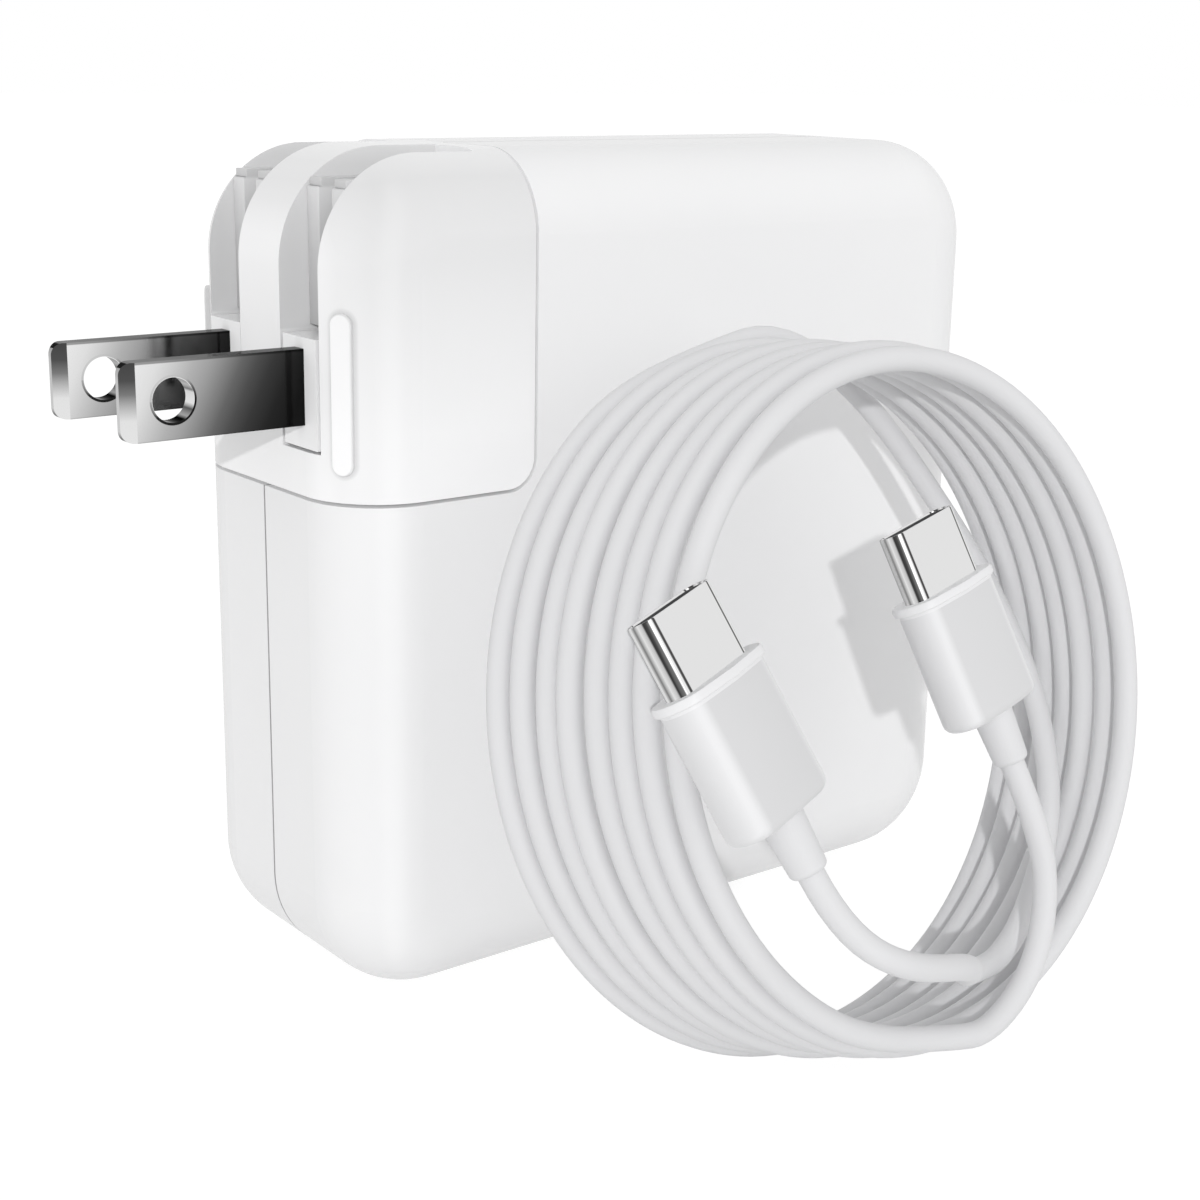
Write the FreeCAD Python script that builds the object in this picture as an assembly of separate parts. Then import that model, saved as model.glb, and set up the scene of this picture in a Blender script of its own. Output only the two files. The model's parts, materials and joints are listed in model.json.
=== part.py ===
import FreeCAD, Part
import math
import os

from FreeCAD import Vector

# Laptop power adapter with a slide-off plug module, two folding blades and a
# coiled USB-C cable. Millimetres. X runs along the large faces, away from the
# blades, Y from the front face to the back, Z up. The origin is the middle of
# the narrow face that the adapter stands on.

# Housing
width = 74.0
height = 74.0
depth = 28.5
corner_radius = 9.6
edge_radius = 7.0
wall = 2.0
lip_height = 1.6
lip_wall = 0.8
groove_width = 0.24
groove_depth = 0.25

# Plug module in the upper corner on the blade side
module_width = 18.45
module_height = 28.4
module_corner = 2.75
module_gap = 0.3
module_floor = 1.6
module_base_thickness = 1.6

# Blades, their carrier and its pivot
blade_spacing = 12.7
blade_thickness = 1.5
blade_height = 6.35
blade_reach = 16.0
blade_hole_diameter = 3.6
blade_hole_from_tip = 4.35
blade_tip_radius = 1.0
blade_taper_length = 1.2
blade_taper_depth = 0.5
blade_drop = 19.1
tail_length = 2.5
pivot_inset = 4.0
pivot_below_blade = 2.3
carrier_width = 5.3
carrier_flush = 0.1
carrier_above = 6.4
carrier_radius = 2.8
carrier_shaft_radius = 2.4
hinge_pin_radius = 1.0
hinge_pin_clearance = 0.06
hinge_pin_length = 24.0
slot_side_clearance = 0.25
sweep_clearance = 0.3
slot_depth = 9.8
recess_length = 5.6
recess_drop = 3.4
grip_length = 13.3
grip_width = 1.9
grip_height = 0.45
grip_angle = 35.0
grip_drop = 19.3

# Mains inlet in the housing and socket nose on the module
contact_pitch = 8.6
nose_radius = 3.5
nose_length = 9.0
nose_clearance = 0.3
inlet_wall = 1.2
inlet_flange = 1.2
inlet_fit = 0.1
inlet_drop = 13.5
pin_radius = 1.18
pin_length = 8.0
pin_tail = 3.0
contact_clearance = 0.07
contact_wall = 0.5
contact_length = 11.5
spring_thickness = 0.4
spring_width = 3.0
spring_length = 7.0

# Round stud on the housing and its slot in the module
stud_from_seam = 5.4
stud_neck_radius = 1.7
stud_head_radius = 3.1
stud_head_height = 1.1
stud_clearance = 0.35
clip_thickness = 0.5
clip_width = 10.0
nut_radius = 3.4
nut_height = 1.6

# Main board and what stands on it
board_margin = 1.2
board_thickness = 1.6
board_behind_contacts = 1.7
post_radius = 2.2
post_inset = 7.0
part_gap = 1.2
spreader_thickness = 0.8
spreader_margin = 9.0
sheet_thickness = 0.4
bulk_diameter = 10.0
bulk_length = 25.0
bridge_width = 10.0
bridge_depth = 7.0
bridge_height = 3.6
transformer_width = 20.0
transformer_height = 22.0
transformer_depth = 14.0
core_leg = 4.0
winding_clearance = 0.4
transistor_width = 4.6
transistor_depth = 10.0
transistor_height = 10.0
inductor_diameter = 11.0
inductor_bore = 5.0
inductor_depth = 6.0
output_diameter = 6.3
output_length = 9.0
choke_diameter = 14.0
choke_bore = 7.0
choke_depth = 6.0
choke_winding = 1.1
choke_slack = 0.15
suppressor_width = 13.0
suppressor_depth = 6.0
suppressor_height = 9.0
line_capacitor_diameter = 7.0
line_capacitor_depth = 3.2
fuse_diameter = 3.6
fuse_length = 9.0
chip_size = 5.0
chip_height = 1.4
lead_diameter = 1.5
lead_bend = 4.0

# USB-C port in the middle of the side away from the blades
port_width = 8.94
port_height = 3.16
port_depth = 7.4
port_wall = 0.3
port_tongue_width = 6.7
port_tongue_height = 0.7
port_tongue_length = 5.0
port_clearance = 0.1
port_board_width = 15.0
port_board_length = 12.0
port_board_thickness = 1.0

# Cable plugs
plug_shell_width = 8.25
plug_shell_height = 2.45
plug_shell_reach = 5.6
plug_shell_wall = 0.3
plug_insert_recess = 0.5
plug_body_width = 9.8
plug_body_height = 4.8
plug_body_length = 11.0
plug_body_edge = 0.8
plug_lip_width = 10.6
plug_lip_height = 4.0
plug_lip_length = 0.7
relief_length = 4.4
relief_big_radius = 1.65
relief_small_radius = 1.4

# Coiled cable that stands in front of the adapter and leans back a little
cable_diameter = 2.0
coil_turns = 7.44
coil_pitch = 2.45
coil_radius = 27.88
coil_taper = 1.2
coil_looseness = 0.2
coil_start = 100.0
coil_centre_x = -6.26
coil_centre_y = -41.15
coil_turn = 2.5
coil_lean = 13.4
run_share = 0.45

# Routes of the two free cable ends, measured from the coil's centre: to the
# right across the coil, up its face and out towards its open end
route_a = [
    (-17.1, -15.8, 18.5),
    (-7.3, -18.4, 16.5),
    (1.9, -23.3, 6.2),
    (9.5, -23.6, 5.4),
    (19.6, -15.4, 3.2),
    (24.6, -5.7, -0.6),
    (25.6, 4.4, -5.2),
    (23.5, 12.8, -8.3),
    (16.9, 23.8, -10.0),
]
route_b = [
    (10.2, -17.8, 9.5),
    (7.8, -24.0, 9.1),
]
plug_a_base = (-22.4, -7.7, 15.8)
plug_a_tip = (-28.2, 12.0, 11.4)
plug_a_lead = 4.5
plug_a_roll = 10.0
plug_b_base = (8.3, -6.8, 8.9)
plug_b_tip = (3.95, 13.5, 5.6)
plug_b_lead = 5.5
plug_b_roll = 2.5
coil_lead_a = 9.7
coil_lead_b = 4.8


# General shapes


def box(x0, x1, y0, y1, z0, z1):
    return Part.makeBox(x1 - x0, y1 - y0, z1 - z0, Vector(x0, y0, z0))


def cylinder(radius, length, start, direction):
    return Part.makeCylinder(radius, length, start, direction)


def along_y(shape):
    return [e for e in shape.Edges if abs(e.tangentAt(e.FirstParameter).y) > 0.99]


def plate(wide, high, base_z, y0, y1, radius):
    blank = box(-wide / 2, wide / 2, y0, y1, base_z, base_z + high)
    return blank.makeFillet(radius, along_y(blank))


def slab(inset):
    """The adapter's rounded outline, drawn in by inset on all sides."""
    half = depth / 2 - inset
    blank = plate(width - 2 * inset, height - 2 * inset, inset, -half, half, corner_radius - inset)
    rims = [e for e in blank.Edges if abs(abs(e.CenterOfMass.y) - half) < 0.01]
    return blank.makeFillet(edge_radius - inset, rims)


def module_prism(grow):
    """The upper corner on the blade side, grown past the module's seam."""
    right = -width / 2 + module_width + grow
    low = height - module_height - grow
    blank = box(-width, right, -depth, depth, low, 2 * height)
    lower = [e for e in along_y(blank) if e.CenterOfMass.x > right - 0.01 and e.CenterOfMass.z < low + 0.01]
    return blank.makeFillet(module_corner + grow, lower)


def figure_eight(x0, x1, radius):
    ends = [cylinder(radius, x1 - x0, Vector(x0, y, inlet_z), Vector(1, 0, 0)) for y in contact_y]
    middle = box(x0, x1, -contact_pitch / 2, contact_pitch / 2, inlet_z - 0.8 * radius, inlet_z + 0.8 * radius)
    return ends[0].fuse(ends[1]).fuse(middle).removeSplitter()


def stadium(wide, high, length):
    """A flat round-ended bar along +Z from the origin, wide along X and high along Y."""
    blank = box(-wide / 2, wide / 2, -high / 2, high / 2, 0, length)
    upright = [e for e in blank.Edges if abs(e.tangentAt(e.FirstParameter).z) > 0.99]
    return blank.makeFillet(0.499 * high, upright)


def fused(shapes):
    return shapes[0].multiFuse(shapes[1:]).removeSplitter()


def save(name, shape):
    shape.exportStep("parts/" + name + ".step")


# Places worked out from the sizes

seam_x = -width / 2 + module_width
seam_z = height - module_height
wall_face_x = seam_x + module_gap / 2
ledge_z = seam_z - module_gap / 2
module_right = seam_x - module_gap / 2
module_bottom = seam_z + module_gap / 2
front_inside = -depth / 2 + wall
back_inside = depth / 2 - wall
blade_y = [-blade_spacing / 2, blade_spacing / 2]
contact_y = [-contact_pitch / 2, contact_pitch / 2]
blade_z = height - blade_drop
blade_tip_x = -width / 2 - blade_reach
pivot_x = -width / 2 + pivot_inset
pivot_z = blade_z - pivot_below_blade
carrier_face_x = -width / 2 + carrier_flush
slot_back_x = -width / 2 + slot_depth
slot_half = carrier_width / 2 + slot_side_clearance
carrier_swing = math.hypot(pivot_x - carrier_face_x, carrier_above) + sweep_clearance
pocket_x = pivot_x + carrier_above + sweep_clearance
inlet_back_x = wall_face_x + nose_length + nose_clearance
inlet_z = height - inlet_drop
grip_centre_z = height - grip_drop
stud_x = seam_x - stud_from_seam
board_front = contact_pitch / 2 + board_behind_contacts
board_back = board_front + board_thickness
board_left = -width / 2 + wall + board_margin
board_right = -board_left
board_low = wall + board_margin
board_top = height - board_low
inlet_leads_x = inlet_back_x + inlet_wall + pin_tail
middle_z = height / 2


# Housing pieces


def shell_body():
    outer = slab(0).cut(module_prism(module_gap / 2))
    hollow = slab(wall).cut(module_prism(module_gap / 2 + wall))
    body = outer.cut(hollow)
    groove = box(-width, width, -groove_width / 2, groove_width / 2, -height, 2 * height)
    body = body.cut(groove.cut(slab(groove_depth)))
    body = body.cut(figure_eight(wall_face_x - wall, inlet_back_x, nose_radius + nose_clearance + inlet_wall + inlet_fit))
    stud_hole = cylinder(stud_neck_radius, 2 * wall, Vector(stud_x, 0, ledge_z - 1.5 * wall), Vector(0, 0, 1))
    body = body.cut(stud_hole)
    port = stadium(port_width + 2 * port_clearance, port_height + 2 * port_clearance, 3 * wall)
    port.rotate(Vector(0, 0, 0), Vector(0, 1, 0), 90)
    port.translate(Vector(width / 2 - 2 * wall, 0, middle_z))
    return body.cut(port), hollow


def front_and_rear_shell():
    body, hollow = shell_body()
    front = body.common(box(-width, width, -depth, 0, -height, 2 * height))
    rear = body.common(box(-width, width, 0, depth, -height, 2 * height))
    inner = slab(wall + lip_wall).cut(module_prism(module_gap / 2 + wall + lip_wall))
    lip = hollow.cut(inner).common(box(-width, width, -wall, lip_height, -height, 2 * height))
    reach = inlet_back_x + inlet_wall + inlet_flange
    lip = lip.cut(box(wall_face_x, reach, -depth, depth, inlet_z - 2 * nose_length, height))
    lip = lip.cut(box(width / 4, width, -depth, depth, middle_z - port_board_width, middle_z + port_board_width))
    lip = lip.cut(box(stud_x - 2 * nut_radius, stud_x + 2 * nut_radius, -depth, depth, ledge_z - 3 * nut_height, ledge_z))
    front = front.fuse(lip).removeSplitter()
    for x, z in post_places():
        post = cylinder(post_radius, back_inside - board_back, Vector(x, board_back, z), Vector(0, 1, 0))
        rear = rear.fuse(post)
    return front, rear.removeSplitter()


def post_places():
    left = board_left + post_inset
    low = board_low + post_inset
    return [(left, low), (-left, low), (-left, height - low), (left, seam_z - 2 * post_inset)]


def inlet_block():
    outer_radius = nose_radius + nose_clearance + inlet_wall
    block = figure_eight(wall_face_x, inlet_back_x + inlet_wall, outer_radius)
    flange = figure_eight(wall_face_x + wall, wall_face_x + wall + inlet_flange, outer_radius + inlet_flange)
    block = block.fuse(flange).removeSplitter()
    block = block.cut(figure_eight(wall_face_x - wall, inlet_back_x, nose_radius + nose_clearance))
    for y in contact_y:
        block = block.cut(cylinder(pin_radius, 2 * wall, Vector(inlet_back_x - wall, y, inlet_z), Vector(1, 0, 0)))
    return block


def inlet_pins():
    length = pin_length + inlet_wall + pin_tail
    pins = []
    for y in contact_y:
        pin = cylinder(pin_radius, length, Vector(inlet_back_x - pin_length, y, inlet_z), Vector(1, 0, 0))
        tip = [e for e in pin.Edges if e.CenterOfMass.x < inlet_back_x - pin_length + 0.01]
        pins.append(pin.makeFillet(0.4 * pin_radius, tip))
    return Part.makeCompound(pins)


def inlet_leads():
    leads = []
    for side, y in zip((0, 1), contact_y):
        bend_x = inlet_leads_x + lead_bend * (2 - side)
        route = [Vector(inlet_leads_x, y, inlet_z), Vector(bend_x, y, inlet_z), Vector(bend_x, board_front, inlet_z)]
        leads.append(tube(route, lead_diameter)[0])
    return Part.makeCompound(leads)


def rail_stud():
    low = ledge_z - wall - nut_height
    head_z = module_bottom + module_floor + stud_clearance
    neck = cylinder(stud_neck_radius, head_z - low, Vector(stud_x, 0, low), Vector(0, 0, 1))
    head = cylinder(stud_head_radius, stud_head_height, Vector(stud_x, 0, head_z), Vector(0, 0, 1))
    rim = [e for e in head.Edges if e.CenterOfMass.z > head_z + stud_head_height - 0.01]
    return neck.fuse(head.makeFillet(0.3 * stud_head_height, rim)).removeSplitter()


def stud_nut():
    low = Vector(stud_x, 0, ledge_z - wall - nut_height)
    corners = []
    for k in range(7):
        turn = math.radians(60 * k)
        corners.append(low + Vector(nut_radius * math.cos(turn), nut_radius * math.sin(turn), 0))
    nut = Part.Face(Part.makePolygon(corners)).extrude(Vector(0, 0, nut_height))
    return nut.cut(cylinder(stud_neck_radius, 3 * nut_height, low - Vector(0, 0, nut_height), Vector(0, 0, 1)))


def main_board():
    board = plate(2 * board_right, board_top - board_low, board_low, board_front, board_back,
                  corner_radius - wall - board_margin)
    notch_x = inlet_leads_x + board_margin
    notch_z = ledge_z - wall - nut_height - board_margin
    return board.cut(box(-width, notch_x, -depth, depth, notch_z, height))


def heat_spreaders():
    left = board_left + spreader_margin
    low = board_low + spreader_margin
    front = box(inlet_back_x + spreader_margin, -left, front_inside, front_inside + spreader_thickness,
                low, height - low)
    back = box(left, -left, back_inside - spreader_thickness, back_inside, low, height - low)
    for x, z in post_places():
        back = back.cut(cylinder(post_radius + board_margin, depth, Vector(x, 0, z), Vector(0, 1, 0)))
    back = back.cut(module_prism(module_gap / 2 + wall + board_margin))
    sheet_back = back_inside - spreader_thickness
    sheet = box(left, -left, sheet_back - sheet_thickness, sheet_back, low, seam_z - 2 * wall)
    for x, z in post_places():
        sheet = sheet.cut(cylinder(post_radius + board_margin, depth, Vector(x, 0, z), Vector(0, 1, 0)))
    return front, back, sheet


# Parts on the main board, in columns from the blade side


def on_board(x0, wide, deep, z0, high):
    return box(x0, x0 + wide, board_front - deep, board_front, z0, z0 + high)


def board_columns():
    """Left edges of the three columns and the height that the first row starts at."""
    first = board_left + part_gap
    second = first + 2 * (bulk_diameter + part_gap)
    third = second + transformer_width + part_gap
    return first, second, third, board_low + post_inset + post_radius


def bulk_capacitors():
    first, second, third, low = board_columns()
    cans = []
    for k in range(2):
        x = first + bulk_diameter / 2 + k * (bulk_diameter + part_gap)
        start = Vector(x, board_front - bulk_diameter / 2, board_low + 2 * part_gap)
        can = cylinder(bulk_diameter / 2, bulk_length, start, Vector(0, 0, 1))
        ends = [e for e in can.Edges if e.Closed]
        cans.append(can.makeFillet(0.08 * bulk_diameter, ends))
    return Part.makeCompound(cans)


def bridge_rectifier():
    """It stands beside the power transistors, above the transformer."""
    first, second, third, low = board_columns()
    x = second + 2 * (transistor_width + part_gap)
    z = board_low + transformer_height + 2 * part_gap
    return on_board(x, bridge_width, bridge_depth, z, bridge_height)


def transformer():
    first, second, third, low = board_columns()
    x1 = second + transformer_width
    block = on_board(second, transformer_width, transformer_depth, board_low + part_gap, transformer_height)
    z0 = board_low + part_gap + core_leg
    z1 = board_low + part_gap + transformer_height - core_leg
    window = box(second + core_leg, x1 - core_leg, -depth, depth, z0, z1)
    centre = Vector((second + x1) / 2, board_front - transformer_depth / 2, z0)
    leg = cylinder(core_leg, z1 - z0, centre, Vector(0, 0, 1))
    core = block.cut(window).fuse(leg).removeSplitter()
    winding_radius = (transformer_width - 2 * core_leg) / 2 - winding_clearance
    winding = cylinder(winding_radius, z1 - z0, centre, Vector(0, 0, 1))
    return core, winding.cut(leg)


def power_transistors():
    first, second, third, low = board_columns()
    z0 = board_low + transformer_height + 2 * part_gap
    pair = [on_board(second + k * (transistor_width + part_gap), transistor_width, transistor_depth, z0,
                     transistor_height) for k in range(2)]
    return Part.makeCompound(pair)


def output_inductor():
    first, second, third, low = board_columns()
    radius = inductor_diameter / 2
    centre = Vector(third + radius, board_front - inductor_depth, board_low + part_gap + radius)
    ring = cylinder(radius, inductor_depth, centre, Vector(0, 1, 0))
    return ring.cut(cylinder(inductor_bore / 2, inductor_depth, centre, Vector(0, 1, 0)))


def output_capacitors():
    first, second, third, low = board_columns()
    radius = output_diameter / 2
    z = board_low + part_gap + inductor_diameter + part_gap + radius
    cans = []
    for k in range(2):
        start = Vector(third + radius + k * (output_diameter + part_gap), board_front - output_length, z)
        cans.append(cylinder(radius, output_length, start, Vector(0, 1, 0)))
    return Part.makeCompound(cans)


def line_column():
    """Left edge of the mains filter parts, beside the inlet leads."""
    return inlet_leads_x + 2 * lead_bend + lead_diameter + part_gap


def suppressor_capacitor():
    high = board_top - part_gap - suppressor_height
    return on_board(line_column(), suppressor_width, suppressor_depth, high, suppressor_height)


def choke_ring(centre, slack):
    way = Vector(0, 1, 0)
    radius = choke_diameter / 2 - choke_winding - slack
    ring = cylinder(radius, choke_depth - 2 * slack, centre + way * slack, way)
    return ring.cut(cylinder(choke_bore / 2 + slack, choke_depth, centre, way))


def common_mode_choke():
    radius = choke_diameter / 2
    z = board_top - 2 * part_gap - suppressor_height - radius - choke_winding
    centre = Vector(line_column() + radius, board_front - choke_depth - choke_winding, z)
    back = centre - Vector(0, choke_winding, 0)
    thick = choke_depth + 2 * choke_winding
    sleeve = cylinder(radius, thick, back, Vector(0, 1, 0))
    sleeve = sleeve.cut(cylinder(choke_bore / 2 - choke_winding, thick, back, Vector(0, 1, 0)))
    gap = box(-choke_winding, choke_winding, -depth, depth, -height, height)
    gap.translate(Vector(centre.x, 0, centre.z))
    return choke_ring(centre, choke_slack), sleeve.cut(choke_ring(centre, 0)).cut(gap)


def line_capacitor():
    radius = line_capacitor_diameter / 2
    z = board_top - 2 * part_gap - suppressor_height - radius
    start = Vector(line_column() + choke_diameter + part_gap, board_front - radius, z)
    return cylinder(radius, line_capacitor_depth, start, Vector(1, 0, 0))


def fuse():
    x = line_column() + suppressor_width + part_gap + fuse_diameter / 2
    start = Vector(x, board_front - fuse_diameter / 2, board_top - part_gap - fuse_length)
    return cylinder(fuse_diameter / 2, fuse_length, start, Vector(0, 0, 1))


def controller_chips():
    first, second, third, low = board_columns()
    chips = []
    for k in range(3):
        x = second + k * (chip_size + part_gap)
        chips.append(box(x, x + chip_size, board_back, board_back + chip_height, middle_z - chip_size, middle_z))
    return Part.makeCompound(chips)


# USB-C port


def turned_port(shape, mouth_x):
    shape.rotate(Vector(0, 0, 0), Vector(0, 1, 0), 90)
    shape.translate(Vector(mouth_x, 0, middle_z))
    return shape


def port_pieces():
    start = width / 2 - port_depth
    outer = turned_port(stadium(port_width, port_height, port_depth), start)
    inner = stadium(port_width - 2 * port_wall, port_height - 2 * port_wall, port_depth)
    shell = outer.cut(turned_port(inner, start + port_wall))
    root = start + port_wall
    half = port_tongue_height / 2
    wide = port_tongue_width / 2
    tongue = box(root, root + port_tongue_length, -half, half, middle_z - wide, middle_z + wide)
    board_y = port_height / 2
    board_end = width / 2 - wall - port_clearance
    board = box(board_end - port_board_length, board_end, board_y, board_y + port_board_thickness,
                middle_z - port_board_width / 2, middle_z + port_board_width / 2)
    header = box(board_end - port_board_length, board_end - port_board_length / 2, board_y + port_board_thickness,
                 board_front, middle_z - port_board_width / 4, middle_z + port_board_width / 4)
    return shell, tongue, board, header


# Plug module


def carrier_profile(y0, y1, grow):
    """The carrier's block beside a blade: round below the pivot, square above it."""
    hub = cylinder(carrier_radius + grow, y1 - y0, Vector(pivot_x, y0, pivot_z), Vector(0, 1, 0))
    face = box(carrier_face_x - grow, pivot_x + tail_length / 2, y0, y1, pivot_z, pivot_z + carrier_above + grow)
    foot = box(carrier_face_x - grow, pivot_x, y0, y1, pivot_z - carrier_radius - grow, pivot_z)
    return hub.fuse(face).fuse(foot).removeSplitter()


def module_block():
    return slab(0).common(module_prism(-module_gap / 2))


def blade_slot(y):
    y0 = y - slot_half
    y1 = y + slot_half
    low = pivot_z - carrier_radius - slot_side_clearance
    slot = box(-width, slot_back_x, y0, y1, low, 2 * height)
    pocket = box(slot_back_x - wall, pocket_x + wall, y0, y1, low, pivot_z + carrier_swing)
    recess = box(-width, slot_back_x + recess_length, y0, y1, height - recess_drop, 2 * height)
    return slot.fuse(pocket).fuse(recess).removeSplitter()


def grip_rib(side):
    """A raised round-ended bar on the rounded edge beside the blades."""
    turn = math.radians(grip_angle)
    outward = Vector(-math.cos(turn), side * math.sin(turn), 0)
    centre_x = -width / 2 + edge_radius - edge_radius * math.cos(turn)
    centre_y = side * (depth / 2 - edge_radius + edge_radius * math.sin(turn))
    blank = box(-grip_width / 2, grip_width / 2, -grip_length / 2, grip_length / 2, -wall, grip_height)
    upright = [e for e in blank.Edges if abs(e.tangentAt(e.FirstParameter).z) > 0.99]
    rib = blank.makeFillet(0.499 * grip_width, upright)
    rim = [e for e in rib.Edges if e.CenterOfMass.z > grip_height - 0.01]
    rib = rib.makeFillet(0.4 * grip_height, rim)
    across = Vector(0, 0, 1).cross(outward)
    turned = FreeCAD.Matrix(across.x, 0, outward.x, centre_x, across.y, 0, outward.y, centre_y,
                            0, 1, 0, grip_centre_z, 0, 0, 0, 1)
    if turned.determinant() < 0:
        turned = FreeCAD.Matrix(-across.x, 0, outward.x, centre_x, -across.y, 0, outward.y, centre_y,
                                0, 1, 0, grip_centre_z, 0, 0, 0, 1)
    rib.transformShape(turned)
    return rib


def plug_shell():
    shell = module_block()
    for side in (-1, 1):
        shell = shell.fuse(grip_rib(side))
    hollow = slab(wall).common(box(pocket_x, seam_x, -depth, depth, module_bottom + module_floor, height))
    hollow = hollow.cut(box(-width, slot_back_x + recess_length + wall, -depth, depth,
                            height - recess_drop - wall, height))
    shell = shell.cut(hollow)
    for y in blade_y:
        shell = shell.cut(blade_slot(y))
    between = blade_spacing / 2 - slot_half + wall
    shaft_room = carrier_shaft_radius + sweep_clearance
    yoke = cylinder(shaft_room, 2 * between, Vector(pivot_x, -between, pivot_z), Vector(0, 1, 0))
    entry = box(pivot_x, pocket_x + wall, -between, between, pivot_z - shaft_room, pivot_z + shaft_room)
    shell = shell.cut(yoke.fuse(entry))
    pin = cylinder(hinge_pin_radius, hinge_pin_length, Vector(pivot_x, -hinge_pin_length / 2, pivot_z), Vector(0, 1, 0))
    shell = shell.cut(pin)
    return shell.cut(rail_channel()).removeSplitter()


def rail_channel():
    """The T slot in the module's floor that the housing's stud slides out of."""
    neck = stud_neck_radius + stud_clearance
    head = stud_head_radius + stud_clearance
    neck_slot = box(stud_x, width, -neck, neck, 0, module_bottom + module_floor + stud_clearance / 2)
    neck_end = cylinder(neck, height, Vector(stud_x, 0, 0), Vector(0, 0, 1))
    floor = box(-width, width, -depth, depth, module_bottom - wall, module_bottom + module_floor)
    head_top = module_bottom + module_floor + 2 * stud_clearance + stud_head_height
    head_slot = box(stud_x - head, width, -head, head, module_bottom + module_floor, head_top)
    return neck_slot.fuse(neck_end.common(floor)).fuse(head_slot).removeSplitter()


def plug_base():
    """The cover on the module's housing side, with the socket nose."""
    inside = slab(wall).common(box(module_right - module_base_thickness, module_right, -depth, depth,
                                   module_bottom + module_floor, height))
    top = height - recess_drop - wall
    inside = inside.cut(box(-width, slot_back_x + recess_length + wall, -depth, depth, top, height))
    nose = figure_eight(module_right - module_base_thickness, wall_face_x + nose_length, nose_radius)
    tip = [e for e in nose.Edges if e.CenterOfMass.x > wall_face_x + nose_length - 0.01]
    base = inside.fuse(nose.makeFillet(0.4, tip)).removeSplitter()
    for y in contact_y:
        start = Vector(module_right - contact_length, y, inlet_z)
        bore = cylinder(pin_radius + contact_clearance + contact_wall, 2 * contact_length, start, Vector(1, 0, 0))
        base = base.cut(bore)
    return base.cut(rail_channel())


def socket_contacts():
    tubes = []
    for y in contact_y:
        start = Vector(wall_face_x + nose_length - contact_length, y, inlet_z)
        outer = cylinder(pin_radius + contact_clearance + contact_wall, contact_length, start, Vector(1, 0, 0))
        tubes.append(outer.cut(cylinder(pin_radius + contact_clearance, contact_length, start, Vector(1, 0, 0))))
    return Part.makeCompound(tubes)


def contact_springs():
    end_x = wall_face_x + nose_length - contact_length
    springs = []
    for y in contact_y:
        arm = box(end_x - spring_thickness, end_x, y - spring_width / 2, y + spring_width / 2,
                  inlet_z - spring_length, inlet_z + spring_width / 2)
        foot = box(pocket_x + part_gap, end_x, y - spring_width / 2, y + spring_width / 2,
                   inlet_z - spring_length, inlet_z - spring_length + spring_thickness)
        springs.append(arm.fuse(foot).removeSplitter())
    return Part.makeCompound(springs)


def rail_clip():
    """A sprung metal strip over the stud's channel."""
    top = module_bottom + module_floor + 2 * stud_clearance + stud_head_height
    left = pocket_x + sweep_clearance
    return box(left, module_right - module_base_thickness, -clip_width / 2, clip_width / 2, top, top + clip_thickness)


def hinge_pin():
    start = Vector(pivot_x, -hinge_pin_length / 2, pivot_z)
    return cylinder(hinge_pin_radius, hinge_pin_length, start, Vector(0, 1, 0))


# Folding blades


def blade_taper(y, side):
    """The wedge cut off a blade's tip on one side, so that it slides into a socket."""
    face_y = y + side * blade_thickness / 2
    corners = [(blade_tip_x - 1, face_y + side), (blade_tip_x + blade_taper_length, face_y + side),
               (blade_tip_x + blade_taper_length, face_y), (blade_tip_x, face_y - side * blade_taper_depth),
               (blade_tip_x - 1, face_y - side * blade_taper_depth)]
    low = blade_z - blade_height
    outline = Part.makePolygon([Vector(x, v, low) for x, v in corners + corners[:1]])
    return Part.Face(outline).extrude(Vector(0, 0, 2 * blade_height))


def blade(y):
    y0 = y - blade_thickness / 2
    y1 = y + blade_thickness / 2
    root_x = pivot_x - hinge_pin_radius - part_gap / 2
    bar = box(blade_tip_x, root_x, y0, y1, blade_z - blade_height / 2, blade_z + blade_height / 2)
    tip = [e for e in along_y(bar) if e.CenterOfMass.x < blade_tip_x + 0.01]
    bar = bar.makeFillet(blade_tip_radius, tip)
    for side in (-1, 1):
        bar = bar.cut(blade_taper(y, side))
    tail = box(root_x, root_x + tail_length, y0, y1, blade_z, blade_z + blade_height / 2)
    hole_x = blade_tip_x + blade_hole_from_tip
    hole = cylinder(blade_hole_diameter / 2, depth, Vector(hole_x, -depth / 2 + y, blade_z), Vector(0, 1, 0))
    return bar.fuse(tail).removeSplitter().cut(hole)


def blade_carrier():
    blocks = [carrier_profile(y - carrier_width / 2, y + carrier_width / 2, 0) for y in blade_y]
    length = blade_spacing
    shaft = cylinder(carrier_shaft_radius, length, Vector(pivot_x, -length / 2, pivot_z), Vector(0, 1, 0))
    carrier = fused(blocks + [shaft])
    for y in blade_y:
        carrier = carrier.cut(blade(y))
    bore = cylinder(hinge_pin_radius + hinge_pin_clearance, depth, Vector(pivot_x, -depth / 2, pivot_z), Vector(0, 1, 0))
    return carrier.cut(bore)


# Cable


def coil_frame():
    """The coil's centre and its three directions: across, up its face and out."""
    turn = math.radians(coil_turn)
    lean = math.radians(coil_lean)
    across = Vector(math.cos(turn), math.sin(turn), 0)
    out = Vector(math.sin(turn) * math.cos(lean), -math.cos(turn) * math.cos(lean), math.sin(lean))
    up = out.cross(across)
    half = coil_turns * coil_pitch / 2
    rim = coil_radius_at(-half) + coil_looseness + cable_diameter / 2
    centre = Vector(coil_centre_x, coil_centre_y, rim * math.cos(lean) + half * math.sin(lean))
    return centre, across, up, out


def coil_radius_at(offset):
    return coil_radius - coil_taper * offset / (7 * coil_pitch / 2)


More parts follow.
